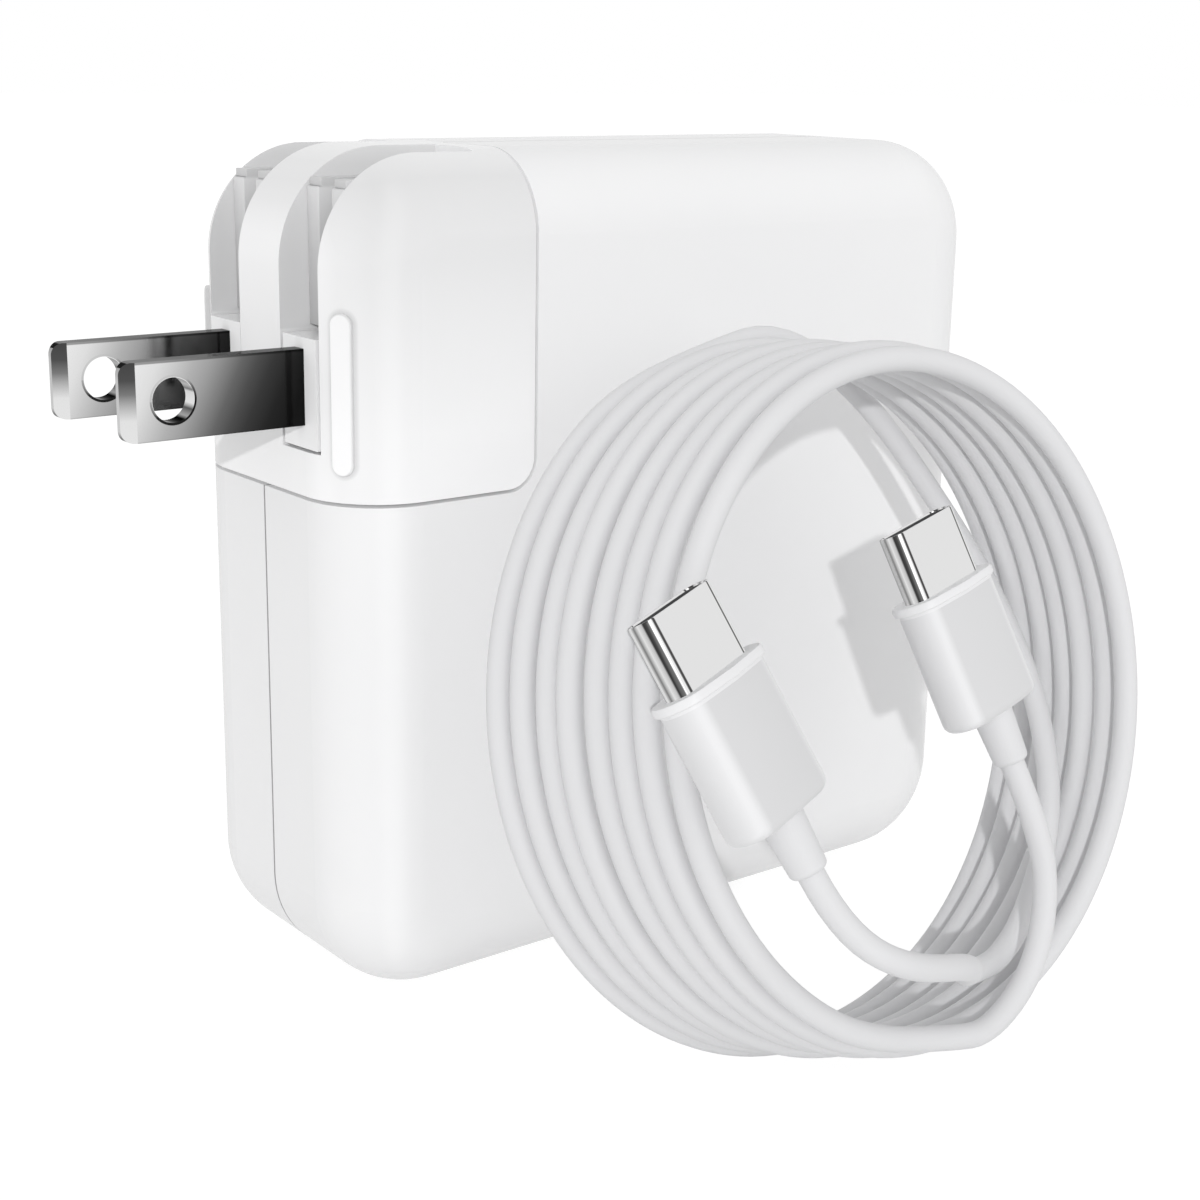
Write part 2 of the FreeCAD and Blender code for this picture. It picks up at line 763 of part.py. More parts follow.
def from_coil(point):
    centre, across, up, out = coil_frame()
    return centre + across * point[0] + up * point[1] + out * point[2]


def coil_point(turns):
    """The point on the cable's middle after so many turns, and its direction there."""
    centre, across, up, out = coil_frame()

    def place(value):
        offset = (value - coil_turns / 2) * coil_pitch
        radius = coil_radius_at(offset) + coil_looseness * math.sin(2.4 * value)
        angle = math.radians(coil_start + 360 * value)
        return centre + out * offset + (across * math.cos(angle) + up * math.sin(angle)) * radius

    step = 0.0005
    return place(turns), (place(turns + step) - place(turns - step)).normalize()


def arc_from(start, corner, end):
    """The arc from start to end that is tangent to both runs through corner."""
    middle = (start + end) * 0.5
    turn = (corner - start).getAngle(end - corner)
    if turn < 0.0001:
        return Part.LineSegment(start, end).toShape()
    rise = (corner - middle).normalize() * (middle.distanceToPoint(start) * math.tan(turn / 4))
    return Part.Arc(start, middle + rise, end).toShape()


def biarc(start, start_way, end, end_way):
    chord = end - start
    both = chord.dot(start_way + end_way)
    spread = 2 * (1 - start_way.dot(end_way))
    reach = (math.sqrt(both * both + spread * chord.dot(chord)) - both) / spread
    first = start + start_way * reach
    second = end - end_way * reach
    joint = (first + second) * 0.5
    return [arc_from(start, first, joint), arc_from(joint, second, end)]


def swept(edges, diameter, start, way):
    ring = Part.Wire([Part.Circle(start, way, diameter / 2).toShape()])
    return Part.Wire(edges).makePipeShell([ring], True, False)


def coil_path():
    """Edges of the wound part: half turns with a straight run at each end."""
    steps = math.ceil(2 * coil_turns)
    stops = [coil_point(coil_turns * k / steps) for k in range(steps + 1)]
    first, first_way = stops[0]
    last, last_way = stops[-1]
    lead_in = first - first_way * cable_diameter
    lead_off = last + last_way * cable_diameter
    edges = [Part.LineSegment(lead_in, first).toShape()]
    for (start, start_way), (end, end_way) in zip(stops, stops[1:]):
        edges += biarc(start, start_way, end, end_way)
    edges.append(Part.LineSegment(last, lead_off).toShape())
    return edges, lead_in, first_way, lead_off, last_way


def rounded_route(points):
    """Straight runs joined by arcs, each as large as its two runs allow."""
    edges = []
    radii = []
    here = points[0]
    for before, corner, after in zip(points, points[1:], points[2:]):
        short = min(before.distanceToPoint(corner), corner.distanceToPoint(after)) * run_share
        leave = corner + (before - corner).normalize() * short
        join = corner + (after - corner).normalize() * short
        turn = (corner - before).getAngle(after - corner)
        radii.append(short / math.tan(turn / 2))
        edges.append(Part.LineSegment(here, leave).toShape())
        edges.append(arc_from(leave, corner, join))
        here = join
    edges.append(Part.LineSegment(here, points[-1]).toShape())
    return edges, radii


def tube(points, diameter):
    edges, radii = rounded_route(points)
    solid = swept(edges, diameter, points[0], (points[1] - points[0]).normalize())
    return solid, edges, radii


def least_gap(edges, diameter, step):
    """The smallest gap of a tube to itself, between points more than a quarter turn apart."""
    line = Part.Wire(edges)
    points = line.discretize(Distance=step)
    apart = int(coil_radius / step)
    gap = coil_radius
    for k, point in enumerate(points):
        for other in points[k + apart:]:
            gap = min(gap, point.distanceToPoint(other))
    return gap - diameter


def report_route(name, points, edges, radii, solid):
    length = sum(edge.Length for edge in edges)
    section = math.pi * (cable_diameter / 2) ** 2
    print(name, "length %.1f" % length, "volume ratio %.4f" % (solid.Volume / (section * length)))
    print("  radii", " ".join("%.1f" % r for r in radii))
    print("  runs", " ".join("%.1f" % a.distanceToPoint(b) for a, b in zip(points, points[1:])))


def plug_axes(base, tip, roll):
    """The plug's directions: across its broad face, through it and along it to the tip."""
    centre, across, up, out = coil_frame()
    along = (tip - base).normalize()
    turn = math.radians(roll)
    normal = out * math.cos(turn) + across * math.sin(turn)
    wide = along.cross(normal).normalize()
    return wide, along.cross(wide), along


def plug_pieces(base, tip, roll):
    """Relief, moulded body, metal shell and insert, built along +Z and then turned into place."""
    relief = Part.makeCone(relief_small_radius, relief_big_radius, relief_length)
    relief = relief.cut(cylinder(cable_diameter / 2, 0.5 * relief_length, Vector(0, 0, -0.01), Vector(0, 0, 1)))
    body = stadium(plug_body_width, plug_body_height, plug_body_length)
    back = [e for e in body.Edges if e.CenterOfMass.z < 0.01]
    body = body.makeFillet(plug_body_edge, back)
    lip = stadium(plug_lip_width, plug_lip_height, plug_lip_length)
    lip.translate(Vector(0, 0, plug_body_length - plug_lip_length))
    body = body.fuse(lip).removeSplitter()
    body.translate(Vector(0, 0, relief_length))
    face_z = relief_length + plug_body_length
    shell = stadium(plug_shell_width, plug_shell_height, plug_shell_reach)
    bore = stadium(plug_shell_width - 2 * plug_shell_wall, plug_shell_height - 2 * plug_shell_wall, plug_shell_reach)
    shell = shell.cut(bore)
    insert = bore.common(box(-width, width, -width, width, 0, plug_shell_reach - plug_insert_recess))
    slot = stadium(port_tongue_width + 2 * port_clearance, port_tongue_height + 2 * port_clearance, plug_shell_reach)
    slot.translate(Vector(0, 0, plug_insert_recess))
    insert = insert.cut(slot)
    shell.translate(Vector(0, 0, face_z))
    insert.translate(Vector(0, 0, face_z))
    wide, thick, along = plug_axes(base, tip, roll)
    place = FreeCAD.Matrix(wide.x, thick.x, along.x, base.x, wide.y, thick.y, along.y, base.y,
                           wide.z, thick.z, along.z, base.z, 0, 0, 0, 1)
    for piece in (relief, body, shell, insert):
        piece.transformShape(place)
    return {"strain_relief": relief, "body": body, "metal_shell": shell, "insert": insert}


def plug_start(base, tip, lead):
    """The two points that the cable leaves a plug by, straight out of its back."""
    base = from_coil(base)
    return [base, base - (from_coil(tip) - base).normalize() * lead]


def cable():
    edges, lead_in, in_way, lead_off, off_way = coil_path()
    coil = swept(edges, cable_diameter, lead_in, in_way)
    print("coil length %.1f" % sum(e.Length for e in edges), "least gap %.3f" % least_gap(edges, cable_diameter, 1.0))
    low = min(point.z for point in Part.Wire(edges).discretize(Distance=1.0)) - cable_diameter / 2
    tightest = min(e.Curve.Radius for e in edges if hasattr(e.Curve, "Radius"))
    print("coil lowest %.3f" % low, "tightest coil arc %.2f" % tightest)
    points_a = plug_start(plug_a_base, plug_a_tip, plug_a_lead) + [from_coil(p) for p in route_a]
    points_a += [lead_in - in_way * coil_lead_a, lead_in]
    points_b = plug_start(plug_b_base, plug_b_tip, plug_b_lead) + [from_coil(p) for p in route_b]
    points_b += [lead_off + off_way * coil_lead_b, lead_off]
    end_a, edges_a, radii_a = tube(points_a, cable_diameter)
    end_b, edges_b, radii_b = tube(points_b, cable_diameter)
    report_route("end a", points_a, edges_a, radii_a, end_a)
    report_route("end b", points_b, edges_b, radii_b, end_b)
    pieces = {"cable_coil": coil, "cable_end_a": end_a, "cable_end_b": end_b}
    for name, base, tip, roll in (("plug_a", points_a[0], plug_a_tip, plug_a_roll),
                                  ("plug_b", points_b[0], plug_b_tip, plug_b_roll)):
        for part, solid in plug_pieces(base, from_coil(tip), roll).items():
            pieces[name + "_" + part] = solid
    return pieces


def build():
    os.makedirs("parts", exist_ok=True)
    front, rear = front_and_rear_shell()
    spreader_front, spreader_back, sheet = heat_spreaders()
    core, winding = transformer()
    choke_core, choke_coil = common_mode_choke()
    port_shell, port_tongue, port_board, port_header = port_pieces()
    pieces = {
        "front_shell": front,
        "rear_shell": rear,
        "inlet_block": inlet_block(),
        "inlet_pins": inlet_pins(),
        "inlet_leads": inlet_leads(),
        "rail_stud": rail_stud(),
        "stud_nut": stud_nut(),
        "main_board": main_board(),
        "front_heat_spreader": spreader_front,
        "rear_heat_spreader": spreader_back,
        "insulating_sheet": sheet,
        "bulk_capacitors": bulk_capacitors(),
        "bridge_rectifier": bridge_rectifier(),
        "transformer_core": core,
        "transformer_winding": winding,
        "power_transistors": power_transistors(),
        "output_inductor": output_inductor(),
        "output_capacitors": output_capacitors(),
        "suppressor_capacitor": suppressor_capacitor(),
        "choke_core": choke_core,
        "choke_winding": choke_coil,
        "line_capacitor": line_capacitor(),
        "fuse": fuse(),
        "controller_chips": controller_chips(),
        "usb_port_shell": port_shell,
        "usb_port_tongue": port_tongue,
        "usb_port_board": port_board,
        "usb_port_header": port_header,
        "plug_shell": plug_shell(),
        "plug_base": plug_base(),
        "socket_contacts": socket_contacts(),
        "contact_springs": contact_springs(),
        "rail_clip": rail_clip(),
        "hinge_pin": hinge_pin(),
        "blade_carrier": blade_carrier(),
        "front_blade": blade(blade_y[0]),
        "rear_blade": blade(blade_y[1]),
    }
    pieces.update(cable())
    for name, shape in pieces.items():
        if not shape.isValid() or not shape.Solids:
            print("not a valid solid:", name)
        save(name, shape)


build()
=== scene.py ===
import json
import math

import bpy
import bmesh
from mathutils import Matrix, Vector


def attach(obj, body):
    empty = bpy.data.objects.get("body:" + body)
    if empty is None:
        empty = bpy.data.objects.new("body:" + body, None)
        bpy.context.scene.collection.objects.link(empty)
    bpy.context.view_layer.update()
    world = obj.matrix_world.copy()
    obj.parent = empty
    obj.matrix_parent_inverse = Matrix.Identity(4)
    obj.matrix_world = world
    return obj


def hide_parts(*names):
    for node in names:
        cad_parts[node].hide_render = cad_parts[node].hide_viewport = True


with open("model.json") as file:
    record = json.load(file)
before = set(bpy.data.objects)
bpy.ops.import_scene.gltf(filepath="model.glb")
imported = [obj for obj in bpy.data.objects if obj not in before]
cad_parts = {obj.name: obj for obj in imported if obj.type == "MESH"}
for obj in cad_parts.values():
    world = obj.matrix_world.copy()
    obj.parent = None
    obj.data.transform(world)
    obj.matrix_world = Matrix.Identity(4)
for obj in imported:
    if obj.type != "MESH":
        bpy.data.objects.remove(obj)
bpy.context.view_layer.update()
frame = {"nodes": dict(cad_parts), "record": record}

MM = 0.001
scene = bpy.context.scene
scene.view_settings.view_transform = "Standard"

# Camera: where it stood, the way it pointed and its lens

camera_place = Vector((-118.735, -150.910, 81.962)) * MM
camera_yaw = -0.6664
camera_down = 0.2667
camera_roll = 0.0180
camera_lens = 60.3

camera_data = bpy.data.cameras.new("camera")
camera_data.lens = camera_lens
camera_data.sensor_width = 36.0
camera_data.clip_start = 0.01
camera_data.clip_end = 20.0
camera = bpy.data.objects.new("camera", camera_data)
scene.collection.objects.link(camera)
turned = Matrix.Rotation(camera_yaw, 4, "Z") @ Matrix.Rotation(math.pi / 2 - camera_down, 4, "X")
camera.matrix_world = Matrix.Translation(camera_place) @ turned @ Matrix.Rotation(camera_roll, 4, "Z")
scene.camera = camera

# The cable: millimetres, as in the solids

cable_diameter = 2.0
coil_turns = 7.44
coil_pitch = 2.45
coil_radius = 27.88
coil_taper = 1.2
coil_taper_turns = 7
coil_looseness = 0.2
coil_wander = 2.4
coil_start = 100.0
coil_turn = 2.5
coil_lean = 13.4
points_per_turn = 24
coil_lead_a = 9.7
coil_lead_b = 4.8
route_a = [(-17.1, -15.8, 18.5), (-7.3, -18.4, 16.5), (1.9, -23.3, 6.2), (9.5, -23.6, 5.4),
           (19.6, -15.4, 3.2), (24.6, -5.7, -0.6), (25.6, 4.4, -5.2), (23.5, 12.8, -8.3),
           (16.9, 23.8, -10.0)]
route_b = [(10.2, -17.8, 9.5), (7.8, -24.0, 9.1)]
plug_a = {"base": (-22.4, -7.7, 15.8), "tip": (-28.2, 12.0, 11.4), "lead": 4.5, "roll": 10.0}
plug_b = {"base": (8.3, -6.8, 8.9), "tip": (3.95, 13.5, 5.6), "lead": 5.5, "roll": 2.5}

turn, lean = math.radians(coil_turn), math.radians(coil_lean)
across = Vector((math.cos(turn), math.sin(turn), 0))
outward = Vector((math.sin(turn) * math.cos(lean), -math.cos(turn) * math.cos(lean), math.sin(lean)))
upward = outward.cross(across)


def coil_radius_at(offset):
    return coil_radius - coil_taper * offset / (coil_taper_turns * coil_pitch / 2)


half_coil = coil_turns * coil_pitch / 2
coil_rim = coil_radius_at(-half_coil) + coil_looseness + cable_diameter / 2
coil_centre = Vector((-6.26, -41.15, coil_rim * math.cos(lean) + half_coil * math.sin(lean)))


def from_coil(point):
    return coil_centre + across * point[0] + upward * point[1] + outward * point[2]


def coil_place(turns, swell):
    offset = (turns - coil_turns / 2) * coil_pitch
    radius = (coil_radius_at(offset) + coil_looseness * math.sin(coil_wander * turns)) * swell
    angle = math.radians(coil_start + 360 * turns)
    return coil_centre + outward * offset + (across * math.cos(angle) + upward * math.sin(angle)) * radius


def coil_way(turns):
    step = 0.0005
    return (coil_place(turns + step, 1) - coil_place(turns - step, 1)).normalized()


def plug_axes(plug):
    """A plug's place: across its broad face, through it and along it to the tip."""
    base, tip = from_coil(plug["base"]), from_coil(plug["tip"])
    way = (tip - base).normalized()
    roll = math.radians(plug["roll"])
    normal = outward * math.cos(roll) + across * math.sin(roll)
    wide = way.cross(normal).normalized()
    thick = way.cross(wide)
    place = Matrix((wide, thick, way)).transposed().to_4x4()
    place.translation = base
    return Matrix.Scale(MM, 4) @ place, base, way


def cable_points():
    place, base_a, way_a = plug_axes(plug_a)
    place, base_b, way_b = plug_axes(plug_b)
    points = [base_a, base_a - way_a * plug_a["lead"]] + [from_coil(p) for p in route_a]
    first = coil_place(0, 1) - coil_way(0) * cable_diameter
    last = coil_place(coil_turns, 1) + coil_way(coil_turns) * cable_diameter
    points += [first - coil_way(0) * coil_lead_a, first]
    steps = round(coil_turns * points_per_turn)
    swell = 1 / math.cos(math.pi / points_per_turn)
    for k in range(1, steps):
        points.append(coil_place(coil_turns * k / steps, swell))
    points += [last, last + coil_way(coil_turns) * coil_lead_b]
    points += [from_coil(p) for p in reversed(route_b)]
    return points + [base_b - way_b * plug_b["lead"], base_b]


def make_cable():
    points = cable_points()
    curve = bpy.data.curves.new("cable", "CURVE")
    curve.dimensions = "3D"
    spline = curve.splines.new("NURBS")
    spline.points.add(len(points) - 1)
    for spot, point in zip(spline.points, points):
        spot.co = (*(point * MM), 1)
    spline.order_u = 3
    spline.use_endpoint_u = True
    spline.resolution_u = 6
    curve.bevel_depth = cable_diameter / 2 * MM
    curve.bevel_resolution = 6
    piece = bpy.data.objects.new("cable", curve)
    scene.collection.objects.link(piece)
    return piece


# Modelling help

sharp_edge = math.radians(35)  # two faces that meet at more are shaded apart
close = 1e-4  # places nearer than this are the same place


def nothing_selected():
    if bpy.context.mode != "OBJECT":
        bpy.ops.object.mode_set(mode="OBJECT")
    bpy.ops.object.select_all(action="DESELECT")


def in_edit(obj):
    nothing_selected()
    obj.select_set(True)
    bpy.context.view_layer.objects.active = obj
    bpy.ops.object.mode_set(mode="EDIT")
    return bmesh.from_edit_mesh(obj.data)


def pick(obj, kind, test):
    """Select, in edit mode, the faces or edges that pass the test."""
    mesh = bmesh.from_edit_mesh(obj.data)
    bpy.ops.mesh.select_mode(type=kind)
    bpy.ops.mesh.select_all(action="DESELECT")
    for part in (mesh.faces if kind == "FACE" else mesh.edges):
        if test(part):
            part.select_set(True)
    mesh.select_flush_mode()
    bmesh.update_edit_mesh(obj.data)


def apply_modifiers(obj):
    nothing_selected()
    obj.select_set(True)
    bpy.context.view_layer.objects.active = obj
    for modifier in list(obj.modifiers):
        bpy.ops.object.modifier_apply(modifier=modifier.name)


def settle(obj, place=None):
    """Bake a piece's place into its mesh and shade it smooth up to its sharp edges."""
    nothing_selected()
    if place is not None:
        obj.data.transform(place)
    obj.select_set(True)
    bpy.context.view_layer.objects.active = obj
    bpy.ops.object.transform_apply(location=True, rotation=True, scale=True)
    bpy.ops.object.shade_smooth_by_angle(angle=sharp_edge)


def copy_of(obj, name):
    twin = obj.copy()
    twin.data = obj.data.copy()
    twin.name = name
    scene.collection.objects.link(twin)
    return twin


# Blades, as in the solids: millimetres

blade_tip = -53.0
blade_reach = 16.0
blade_height = 6.35
blade_thickness = 1.5
blade_spacing = 12.7
blade_middle = 54.9
blade_hole = 3.6
blade_hole_from_tip = 4.35

# The fine groove between the housing's two shells, as in the solids

groove_width = 0.24

# Slots that the blades fold into, as in the solids

slot_width = 5.8
slot_bottom = 59.2
slot_top = 74.0
# how far past the slot's walls the painted shade in the slots reaches
slot_margin = 0.02

# The gap between module and housing, as in the solids

seam_x = -18.55
seam_z = 45.6
seam_corner = 2.75
seam_gap = 0.3
# how far past the gap's walls the painted glow reaches, and how far a glowing wall may face front or back
seam_margin = 0.01
seam_facing = 0.3

# Grip ribs on the module's two rounded edges, as in the solids

rib_length = 13.3
rib_width = 1.9
rib_middle = Vector((-35.734, 11.265, 54.7))
rib_turn = math.radians(35)
rib_across = Vector((math.sin(rib_turn), math.cos(rib_turn), 0))

# Steps in the slots

step_front = -34.2
step_back = -27.3
step_bottom = 59.5
step_top = 70.9
step_cap = 0.7
step_cap_back = 0.25
step_clearance = 0.3
step_edge = 0.12

# Painted light and shade held in the materials: levels of grey at places from 0 to 1, and widths in millimetres

# painted shade in the slots: the darkest level, and how it changes with height
slot_shade = 0.88
slot_painted_shade_by_height = ((0.0, 0.0), (0.01, 1.0), (0.9, 0.6), (1.0, 0.0))
# painted shade on the steps in the slots, by height
step_painted_shade = ((0.0, 0.60), (0.5, 0.72), (0.93, 0.90), (0.95, 0.72), (1.0, 0.76))
# painted shade across the groove between the housing's shells
groove_painted_shade = ((0.0, 1.0), (0.24, 1.0), (0.26, 0.3), (0.74, 0.3), (0.76, 1.0), (1.0, 1.0))
# strength of the painted glow in the gap round the module
seam_painted_glow = 0.045
# painted shade by facing on the module: on its rounded left edge, its upward faces, and its broad faces towards the
# top
left_edge_painted_shade = ((0.0, 1.0), (0.15, 0.97), (0.5, 0.90), (0.85, 0.93), (0.97, 1.0))
upward_painted_shade = ((0.0, 1.0), (0.1, 1.0), (0.7, 0.9), (1.0, 0.97))
broad_face_painted_shade = ((0.0, 0.0), (0.2, 0.02), (0.7, 0.17), (1.0, 0.2))
# painted highlight on the grip ribs and the ring of painted shadow round it
rib_painted_ring_width = 0.45
rib_painted_highlight_and_shadow = ((0.0, 1.08), (0.3, 1.08), (0.5, 0.82), (0.7, 0.86), (1.0, 1.0))
# painted reflections on the blades: where the bands fall and which faces get them
blade_slant = -0.5
blade_face_painted_reflection = ((0.0, 0.90), (0.09, 0.83), (0.27, 0.50), (0.35, 0.40), (0.43, 0.27), (0.51, 0.15),
                     (0.59, 0.085), (0.67, 0.047), (0.78, 0.022), (0.9, 0.012))
blade_edge_painted_reflection = ((0.0, 0.7), (0.02, 1.0), (0.965, 1.0), (0.975, 0.4), (1.0, 0.4))
blade_top_painted_reflection = ((0.0, 0.45), (0.15, 0.28), (0.33, 0.08), (0.45, 0.03), (0.6, 0.012), (1.0, 0.01))
blade_taper_painted_reflection = ((0.0, 0.44), (0.28, 0.43), (0.45, 0.27), (0.61, 0.11), (0.78, 0.045), (1.0, 0.035))
blade_end_painted_reflection = ((0.0, 0.15), (0.15, 0.85), (0.8, 0.75), (1.0, 0.4))
blade_up_facing = 0.7
blade_taper_facing = -0.3
blade_end_facing = -0.8
blade_glancing_tint = (0.4, 0.4, 0.4, 1)
hole_wall = 0.04
hole_wall_painted_reflection = ((0.0, 0.9), (0.08, 0.6), (0.12, 0.03), (0.33, 0.02), (0.36, 0.5), (0.42, 0.12),
                    (0.46, 0.95), (0.54, 0.95), (0.56, 0.3), (0.60, 0.95), (1.0, 0.9))
hole_rim = 0.22
hole_rim_painted_reflection = ((0.0, 0.6), (0.08, 0.3), (0.12, 0.04), (0.50, 0.03), (0.58, 0.3), (0.65, 1.0), (1.0, 0.8))
# painted reflection round the plugs' metal shells
plug_metal_painted_reflection = ((0.0, 0.86), (0.10, 0.84), (0.13, 0.10), (0.20, 0.05), (0.25, 0.95), (0.36, 0.90),
                     (0.40, 0.10), (0.60, 0.04), (0.66, 0.60), (0.82, 0.85), (1.0, 0.22))
# painted light on the plug bodies: paler on the rounded sides and the lip, greyer on the flat faces
plug_side_painted_light = ((0.0, 0.80), (0.66, 0.80), (0.78, 0.93), (0.92, 0.90), (1.0, 0.85))
plug_lip_painted_light = ((0.0, 0.0), (0.1, 0.97), (1.0, 0.97))

# Materials

housing_colour = (0.855, 0.855, 0.86)
module_colour = (0.95, 0.95, 0.955)
# greyer than the module's plastic: painted shade in the slots
step_colour = (0.80, 0.80, 0.805)
plug_colour = (0.84, 0.84, 0.85)
mirror_colour = (1.0, 1.0, 1.0)
fine_grain = 9000
drawn_grain = (300, 6000, 9000)
cloud_scale = 60
cloud_tint = 0.965
grain_roughness = 0.05


def new_material(name):
    material = bpy.data.materials.new(name)
    material.use_nodes = True
    return material, material.node_tree.nodes, material.node_tree.links


def make_grain_group():
    """Fine moulded texture: a height for bump, and a small change of colour and roughness."""
    group = bpy.data.node_groups.new("moulded_grain", "ShaderNodeTree")
    for name, kind in (("Vector", "NodeSocketVector"), ("Scale", "NodeSocketFloat"), ("Tint", "NodeSocketColor"),
                       ("Roughness", "NodeSocketFloat")):
        group.interface.new_socket(name, in_out="INPUT", socket_type=kind)
    for name, kind in (("Color", "NodeSocketColor"), ("Roughness", "NodeSocketFloat"), ("Height", "NodeSocketFloat")):
        group.interface.new_socket(name, in_out="OUTPUT", socket_type=kind)
    nodes, links = group.nodes, group.links
    given, result = nodes.new("NodeGroupInput"), nodes.new("NodeGroupOutput")
    fine = nodes.new("ShaderNodeTexNoise")
    fine.inputs["Detail"].default_value = 3
    broad = nodes.new("ShaderNodeTexNoise")
    broad.inputs["Scale"].default_value = cloud_scale
    shade = nodes.new("ShaderNodeMapRange")
    shade.inputs["To Min"].default_value = cloud_tint
    shade.inputs["To Max"].default_value = 1.0
    tint = nodes.new("ShaderNodeVectorMath")
    tint.operation = "SCALE"
    rough = nodes.new("ShaderNodeMapRange")
    rough.inputs["To Min"].default_value = -grain_roughness
    rough.inputs["To Max"].default_value = grain_roughness
    add = nodes.new("ShaderNodeMath")
    links.new(given.outputs["Vector"], fine.inputs["Vector"])
    links.new(given.outputs["Scale"], fine.inputs["Scale"])
    links.new(given.outputs["Vector"], broad.inputs["Vector"])
    links.new(broad.outputs["Fac"], shade.inputs["Value"])
    links.new(given.outputs["Tint"], tint.inputs[0])
    links.new(shade.outputs["Result"], tint.inputs["Scale"])
    links.new(tint.outputs["Vector"], result.inputs["Color"])
    links.new(fine.outputs["Fac"], rough.inputs["Value"])
    links.new(rough.outputs["Result"], add.inputs[0])
    links.new(given.outputs["Roughness"], add.inputs[1])
    links.new(add.outputs["Value"], result.inputs["Roughness"])
    links.new(fine.outputs["Fac"], result.inputs["Height"])
    return group


grain_group = make_grain_group()


def moulded(name, color, roughness, scale, bump, specular=0.5, coat=0.0):
    """Plastic, lacquer or the like, with a fine grain."""
    material, nodes, links = new_material(name)
    shader = nodes["Principled BSDF"]
    where = nodes.new("ShaderNodeTexCoord")
    grain = nodes.new("ShaderNodeGroup")
    grain.node_tree = grain_group
    grain.inputs["Scale"].default_value = scale
    grain.inputs["Tint"].default_value = (*color, 1)
    grain.inputs["Roughness"].default_value = roughness
    relief = nodes.new("ShaderNodeBump")
    relief.inputs["Strength"].default_value = bump
    relief.inputs["Distance"].default_value = 0.00005
    links.new(where.outputs["Object"], grain.inputs["Vector"])
    links.new(grain.outputs["Color"], shader.inputs["Base Color"])
    links.new(grain.outputs["Roughness"], shader.inputs["Roughness"])
    links.new(grain.outputs["Height"], relief.inputs["Height"])
    links.new(relief.outputs["Normal"], shader.inputs["Normal"])
    shader.inputs["Specular IOR Level"].default_value = specular
    shader.inputs["Coat Weight"].default_value = coat
    shader.inputs["Coat Roughness"].default_value = 0.12
    return material


def plated(name, color, roughness, stretch, bump=0.2):
    """Nickel plate with a fine drawn grain along one direction."""
    material, nodes, links = new_material(name)
    shader = nodes["Principled BSDF"]
    where = nodes.new("ShaderNodeTexCoord")
    drawn = nodes.new("ShaderNodeMapping")
    drawn.inputs["Scale"].default_value = stretch
    grain = nodes.new("ShaderNodeGroup")
    grain.node_tree = grain_group
    grain.inputs["Scale"].default_value = 1.0
    grain.inputs["Tint"].default_value = (*color, 1)
    grain.inputs["Roughness"].default_value = roughness
    relief = nodes.new("ShaderNodeBump")
    relief.inputs["Strength"].default_value = bump
    relief.inputs["Distance"].default_value = 0.00002
    links.new(where.outputs["Object"], drawn.inputs["Vector"])
    links.new(drawn.outputs["Vector"], grain.inputs["Vector"])
    links.new(grain.outputs["Color"], shader.inputs["Base Color"])
    links.new(grain.outputs["Roughness"], shader.inputs["Roughness"])
    links.new(grain.outputs["Height"], relief.inputs["Height"])
    links.new(relief.outputs["Normal"], shader.inputs["Normal"])
    shader.inputs["Metallic"].default_value = 1.0
    return material


white = moulded("white_plastic", housing_colour, 0.24, fine_grain, 0.08, coat=0.15)
grey = moulded("grey_plastic", (0.66, 0.66, 0.68), 0.45, fine_grain, 0.12)
black = moulded("black_plastic", (0.02, 0.02, 0.022), 0.4, fine_grain, 0.1)
sleeve = moulded("cable_sleeve", (0.725, 0.725, 0.735), 0.5, 5000, 0.2, specular=0.35)
nickel = plated("nickel", (0.62, 0.62, 0.63), 0.16, drawn_grain)
copper = plated("copper", (0.72, 0.45, 0.28), 0.3, (900, 900, 900))
board = moulded("board", (0.03, 0.12, 0.06), 0.35, 4000, 0.2)
ferrite = moulded("ferrite", (0.06, 0.06, 0.065), 0.6, 3000, 0.4)
aluminium = plated("aluminium", (0.70, 0.70, 0.72), 0.35, (400, 4000, 400))
film = moulded("yellow_film", (0.75, 0.55, 0.10), 0.3, 2000, 0.1)
blue = moulded("blue_coat", (0.03, 0.09, 0.35), 0.25, 3000, 0.2)
finishes = {"white_plastic": white, "grey_plastic": grey, "black_plastic": black, "cable_sleeve": sleeve,
            "nickel": nickel, "copper": copper, "board": board, "ferrite": ferrite, "aluminium": aluminium,
            "yellow_film": film, "blue_coat": blue, "glass_tube": blue}


# Painted light and shade that follow the place on a piece


def calc(nodes, links, operation, *values):
    """One operation on sockets or plain numbers."""
    node = nodes.new("ShaderNodeMath")
    node.operation = operation
    for slot, value in zip(node.inputs, values):
        if isinstance(value, (int, float)):
            slot.default_value = value
        else:
            links.new(value, slot)
    return node.outputs["Value"]


def shaded(nodes, links, share, levels):
    """The grey that belongs to a share from 0 to 1."""
    ramp = nodes.new("ShaderNodeValToRGB")
    bar = ramp.color_ramp.elements
    while len(bar) < len(levels):
        bar.new(1.0)
    for element, (place, level) in zip(bar, levels):
        element.position = place
        element.color = (level, level, level, 1)
    links.new(share, ramp.inputs["Fac"])
    return ramp.outputs["Color"]


def chosen(nodes, links, test, plain, special):
    """The special colour where the test holds, and the plain one elsewhere."""
    mix = nodes.new("ShaderNodeMix")
    mix.data_type = "RGBA"
    links.new(test, mix.inputs["Factor"])
    links.new(plain, mix.inputs["A"])
    links.new(special, mix.inputs["B"])
    return mix.outputs["Result"]


def split(nodes, links, vector):
    """A vector's three parts."""
    parts = nodes.new("ShaderNodeSeparateXYZ")
    links.new(vector, parts.inputs["Vector"])
    return parts.outputs["X"], parts.outputs["Y"], parts.outputs["Z"]


